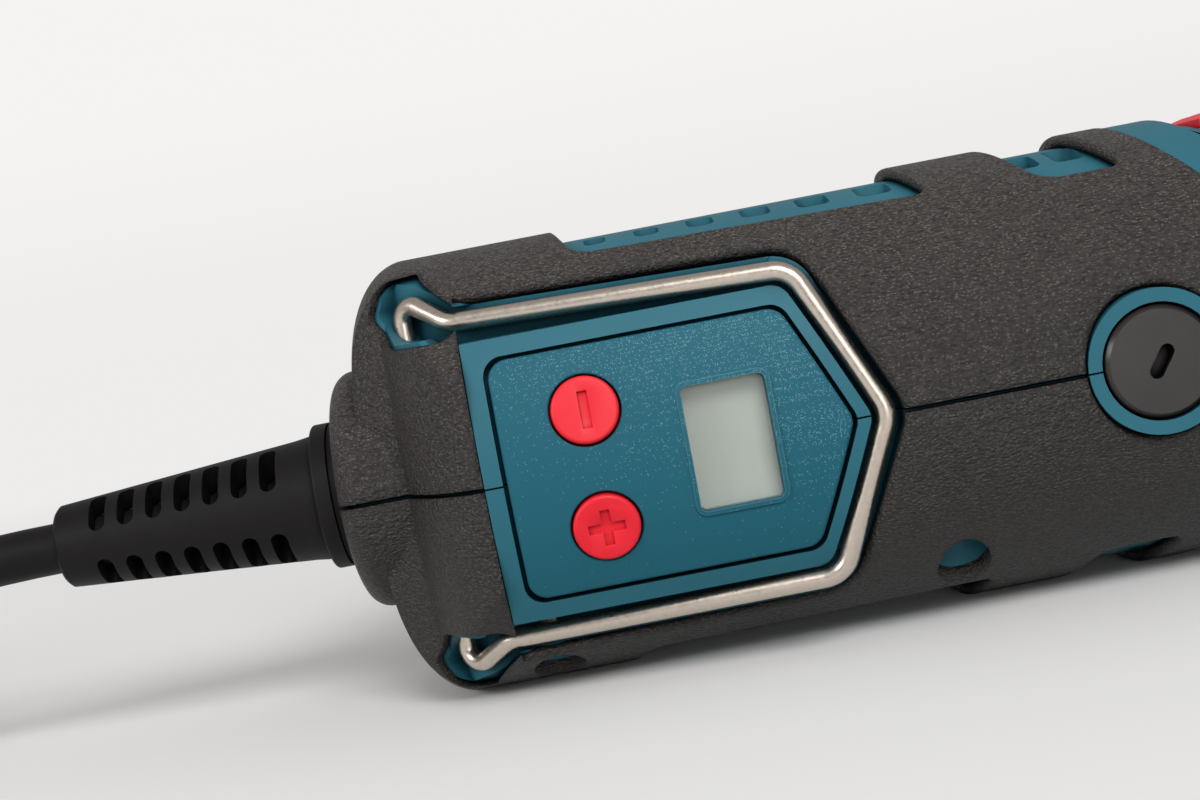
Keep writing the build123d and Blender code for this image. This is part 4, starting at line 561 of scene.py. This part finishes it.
def bezel_plate():
    """Etched moulded plate in petrol blue, sand-like, with painted glints and painted rim highlights."""
    made, tree = finish("etched_petrol_plate")
    place = add(tree, "TexCoord", {}).outputs["Object"]
    normal, height = grained(tree, size=0.2, depth=0.03, strength=0.5)
    # Painted glints, pale specks, more of them upwards and towards the nose where the light shines back
    lean = 0.45
    rise = 24 * MM
    glint_cells = add(tree, "TexVoronoi", {"Vector": place, "Scale": per(0.15)}, feature="F1")
    up = add(tree, "VectorMath", {0: place, 1: (lean, 0.0, 1.0)}, operation="DOT_PRODUCT").outputs["Value"]
    low = (AXIS_Z + lean * PANEL_X) * MM
    rare = add(tree, "MapRange", {0: up, 1: low, 2: low + rise, 3: 0.94, 4: 0.58}).outputs[0]
    spark = add(tree, "Math", {0: glint_cells.outputs["Color"], 1: rare}, operation="GREATER_THAN").outputs[0]
    core = add(tree, "Math", {0: glint_cells.outputs["Distance"], 1: 0.42}, operation="LESS_THAN").outputs[0]
    painted_glint = add(tree, "Math", {0: spark, 1: core}, operation="MULTIPLY").outputs[0]
    painted_glint = add(tree, "Math", {0: painted_glint, 1: 0.42}, operation="MULTIPLY").outputs[0]
    shade = add(tree, "Mix", {0: painted_glint, 6: linear("266475"), 7: linear("97bdc5")}, data_type="RGBA")
    # Painted highlights on the rims, where the softened normal turns away from the plain one
    plain = add(tree, "NewGeometry", {}).outputs["Normal"]
    turned = add(tree, "Bevel", {"Radius": 0.22 * MM}, samples=6).outputs[0]
    same = add(tree, "VectorMath", {0: plain, 1: turned}, operation="DOT_PRODUCT").outputs["Value"]
    rim_highlight = add(tree, "MapRange", {0: same, 1: 0.98, 2: 0.8, 3: 0.0, 4: 0.35}).outputs[0]
    shade = add(tree, "Mix", {0: rim_highlight, 6: shade.outputs[2], 7: linear("7fb0bb")}, data_type="RGBA").outputs[2]
    body = add(tree, "BsdfPrincipled", {"Base Color": shade, "Roughness": 0.45, "Specular IOR Level": 0.1,
                                        "Normal": normal})
    add(tree, "OutputMaterial", {"Surface": body.outputs[0]})
    return made


def red_key():
    """Moulded red plastic, smooth with a soft sheen."""
    made, tree = finish("moulded_red_plastic")
    normal, height = grained(tree, size=0.16, depth=0.01, strength=0.25)
    shade = clouded(tree, "ee1f2f", "f62a3b", size=3, detail=3)
    # Painted shade: darker and less shiny in narrow creases, such as the sunk signs and the gaps round them
    shade, sheen = painted_crease_shade(tree, shade, reach=0.7, dark="960f1d", share=0.9, shine=0.35)
    body = add(tree, "BsdfPrincipled", {"Base Color": shade, "Roughness": 0.42, "Specular IOR Level": sheen,
                                        "Normal": normal})
    add(tree, "OutputMaterial", {"Surface": body.outputs[0]})
    return made


def steel_wire():
    """Drawn steel wire: warm satin metal with fine draw marks."""
    made, tree = finish("drawn_steel_wire")
    place = add(tree, "TexCoord", {}).outputs["Object"]
    marks = add(tree, "TexNoise", {"Vector": place, "Scale": per(0.5), "Detail": 2}).outputs["Fac"]
    shade = add(tree, "Mix", {0: marks, 6: linear("c2b5a9"), 7: linear("dacec2")}, data_type="RGBA")
    rough = add(tree, "MapRange", {0: marks, 1: 0.3, 2: 0.7, 3: 0.27, 4: 0.34}).outputs[0]
    bump = add(tree, "Bump", {"Height": marks, "Strength": 0.02, "Distance": 0.01 * MM}).outputs[0]
    body = add(tree, "BsdfPrincipled", {"Base Color": shade.outputs[2], "Metallic": 1.0, "Roughness": rough,
                                        "Normal": bump})
    add(tree, "OutputMaterial", {"Surface": body.outputs[0]})
    return made


def mottled(name, dark, light, roughness, size, metallic=0.0, alpha=1.0, grain=0.2, shine=0.5, shade_reach=0.0):
    """Plain moulded or machined finish: two near tones in soft clouds, over a fine grain.

    The size of the clouds and the width of the creases that get painted shade are in millimetres.
    """
    made, tree = finish(name)
    normal, height = grained(tree, size=size / 8, depth=size / 200, strength=grain)
    shade = clouded(tree, dark, light, size, detail=4)
    # Painted shade: darker and less shiny in creases and holes, if asked for
    if shade_reach:
        shade, shine = painted_crease_shade(tree, shade, reach=shade_reach, dark="050505", share=1.0, shine=shine)
    body = add(tree, "BsdfPrincipled", {"Base Color": shade, "Metallic": metallic, "Roughness": roughness,
                                        "Specular IOR Level": shine, "Alpha": alpha, "Normal": normal})
    add(tree, "OutputMaterial", {"Surface": body.outputs[0]})
    return made


def table_top():
    """Pale paper sweep: plain near the tool, one with the background further off."""
    made, tree = finish("pale_paper_sweep")
    place = add(tree, "TexCoord", {}).outputs["Object"]
    far = add(tree, "VectorMath", {0: place}, operation="LENGTH").outputs["Value"]
    fade = add(tree, "MapRange", {0: far, 1: FADE_FROM, 2: FADE_TO, 3: 0.0, 4: 1.0},
               interpolation_type="SMOOTHSTEP")
    # The camera, metal and glass see it pale; what it throws back on the tool is darker
    ray = add(tree, "LightPath", {}).outputs
    seen = add(tree, "Math", {0: ray["Is Camera Ray"], 1: ray["Is Glossy Ray"]}, operation="ADD").outputs[0]
    seen = add(tree, "Math", {0: seen, 1: ray["Is Transmission Ray"]}, operation="ADD",
               use_clamp=True).outputs[0]
    share = add(tree, "Math", {0: fade.outputs[0], 1: seen}, operation="MULTIPLY").outputs[0]
    tone = add(tree, "Mix", {0: seen, 6: linear("9a9896"), 7: linear("f8f7f5")}, data_type="RGBA").outputs[2]
    paper = add(tree, "BsdfDiffuse", {"Color": tone}).outputs[0]
    haze = add(tree, "Emission", {"Color": linear(HORIZON), "Strength": 1.0}).outputs[0]
    both = add(tree, "MixShader", {0: share, 1: paper, 2: haze}).outputs[0]
    add(tree, "OutputMaterial", {"Surface": both})
    return made


def surround():
    """Even light from all round, behind a pale background that lightens upwards."""
    world = bpy.data.worlds.new("even_surround")
    world.use_nodes = True
    tree = world.node_tree
    tree.nodes.clear()
    ray = add(tree, "LightPath", {}).outputs
    seen = add(tree, "Math", {0: ray["Is Camera Ray"], 1: ray["Is Transmission Ray"]}, operation="ADD",
               use_clamp=True).outputs[0]
    around = add(tree, "Background", {"Color": linear(SURROUND), "Strength": SURROUND_LIGHT}).outputs[0]
    way = add(tree, "TexCoord", {}).outputs["Generated"]
    rise = add(tree, "SeparateXYZ", {0: way}).outputs["Z"]
    height = add(tree, "MapRange", {0: rise, 1: 0.0, 2: SWEEP_RISE, 3: 0.0, 4: 1.0},
                 interpolation_type="SMOOTHSTEP").outputs[0]
    sweep = add(tree, "Mix", {0: height, 6: linear(HORIZON), 7: linear(ABOVE)}, data_type="RGBA").outputs[2]
    behind = add(tree, "Background", {"Color": sweep, "Strength": 1.0}).outputs[0]
    both = add(tree, "MixShader", {0: seen, 1: around, 2: behind}).outputs[0]
    add(tree, "OutputWorld", {"Surface": both})
    bpy.context.scene.world = world


def lamp(name, place, target, size, power):
    """Square soft lamp, turned towards its target."""
    data = bpy.data.lights.new(name, "AREA")
    data.shape = "SQUARE"
    data.size = size
    data.energy = power
    lit = bpy.data.objects.new(name, data)
    bpy.context.collection.objects.link(lit)
    lit.location = place
    lit.rotation_euler = (Vector(target) - Vector(place)).to_track_quat("-Z", "Y").to_euler()


def studio():
    """Pale table, soft lamps and an even surround."""
    bpy.ops.mesh.primitive_plane_add(size=TABLE_SIZE, location=(0, 0, -TABLE_DROP))
    floor = bpy.context.object
    floor.name = "table_top"
    floor.data.materials.append(table_top())
    floor.select_set(False)
    surround()
    for values in LAMPS:
        lamp(*values)


def paint(finish_of, *names):
    """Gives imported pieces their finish."""
    for name in names:
        NODES[name].data.materials.clear()
        NODES[name].data.materials.append(finish_of)


def main():
    """Camera, table and lamps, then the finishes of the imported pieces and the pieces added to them."""
    bpy.context.scene.view_settings.view_transform = "Standard"
    place_camera()
    studio()
    black_rubber = rubber()
    shell = petrol_shell()
    red = red_key()
    jacket = mottled("pvc_cord_jacket", "121012", "1a1719", roughness=0.5, size=4, shine=0.16)
    # The sleeve and the black plastic get painted shade in their creases
    sleeve = mottled("moulded_pvc_sleeve", "100e10", "191618", roughness=0.5, size=3, shine=0.18, shade_reach=1.5)
    black = mottled("moulded_black_plastic", "272424", "332e2d", roughness=0.26, size=5, shade_reach=2.0)
    zinc = mottled("zinc_plated_steel", "9c9a96", "bdbab4", roughness=0.35, size=3, metallic=1.0)
    steel = mottled("ground_steel", "8f8f8f", "b4b4b2", roughness=0.28, size=3, metallic=1.0)
    copper = mottled("enamelled_copper", "8a4a26", "b0643a", roughness=0.4, size=2, metallic=1.0)
    brass = mottled("pressed_brass", "a98545", "c8a35c", roughness=0.35, size=3, metallic=1.0)
    lens = mottled("clear_acrylic", "dfe6e2", "eef2ef", roughness=0.12, size=6, alpha=0.14, grain=0.05)
    glass = mottled("grey_green_display_glass", "a7b0a4", "b2baae", roughness=0.35, size=8, grain=0.05)
    board = mottled("solder_masked_board", "1f5a35", "2b6b42", roughness=0.4, size=3)
    carbon = mottled("pressed_carbon", "202022", "2c2c2e", roughness=0.6, size=1)
    laminations = mottled("stacked_laminations", "5a5a5e", "74747a", roughness=0.45, size=1, metallic=1.0)
    plug_pvc = mottled("moulded_plug_pvc", "1f1d1e", "2a2728", roughness=0.42, size=4)
    nickel = mottled("nickel_plated_brass", "b7b3a8", "d0ccc2", roughness=0.25, size=3, metallic=1.0)
    cloth = mottled("woven_strap_cloth", "1b1b1d", "29292c", roughness=0.8, size=1, grain=0.6)
    paint(black_rubber, "grip_upper", "grip_lower", "front_grip_upper", "front_grip_lower")
    paint(shell, "housing_upper", "housing_lower", "nose_cap")
    paint(bezel_plate(), "display_bezel")
    paint(lens, "lcd_lens")
    paint(glass, "lcd_module")
    paint(board, "control_board")
    paint(steel_wire(), "hanging_bail")
    paint(black, "brush_caps", "tact_switches", "switch_block", "switch_bar", "cooling_fan", "air_baffle",
          "cord_clamp")
    paint(red, "power_slider", "lock_button")
    paint(sleeve, "strain_relief", "rear_bearing_cup")
    paint(brass, "brush_holders")
    paint(carbon, "carbon_brushes")
    paint(zinc, "housing_screws", "clamp_screws")
    paint(steel, "spindle", "collet", "collet_nut", "rear_bearing", "front_bearing", "brush_springs")
    paint(laminations, "stator_core", "armature_core")
    paint(copper, "field_coils", "armature_winding", "commutator")
    paint(plug_pvc, "mains_plug")
    paint(nickel, "plug_pins")
    mains_lead(jacket, cloth)
    inner_lead(jacket)
    relief_collar(sleeve)
    return_spring(steel)
    engraved_key("minus_button", 1, MINUS_ARMS, red)
    engraved_key("plus_button", -1, PLUS_ARMS, red)


main()
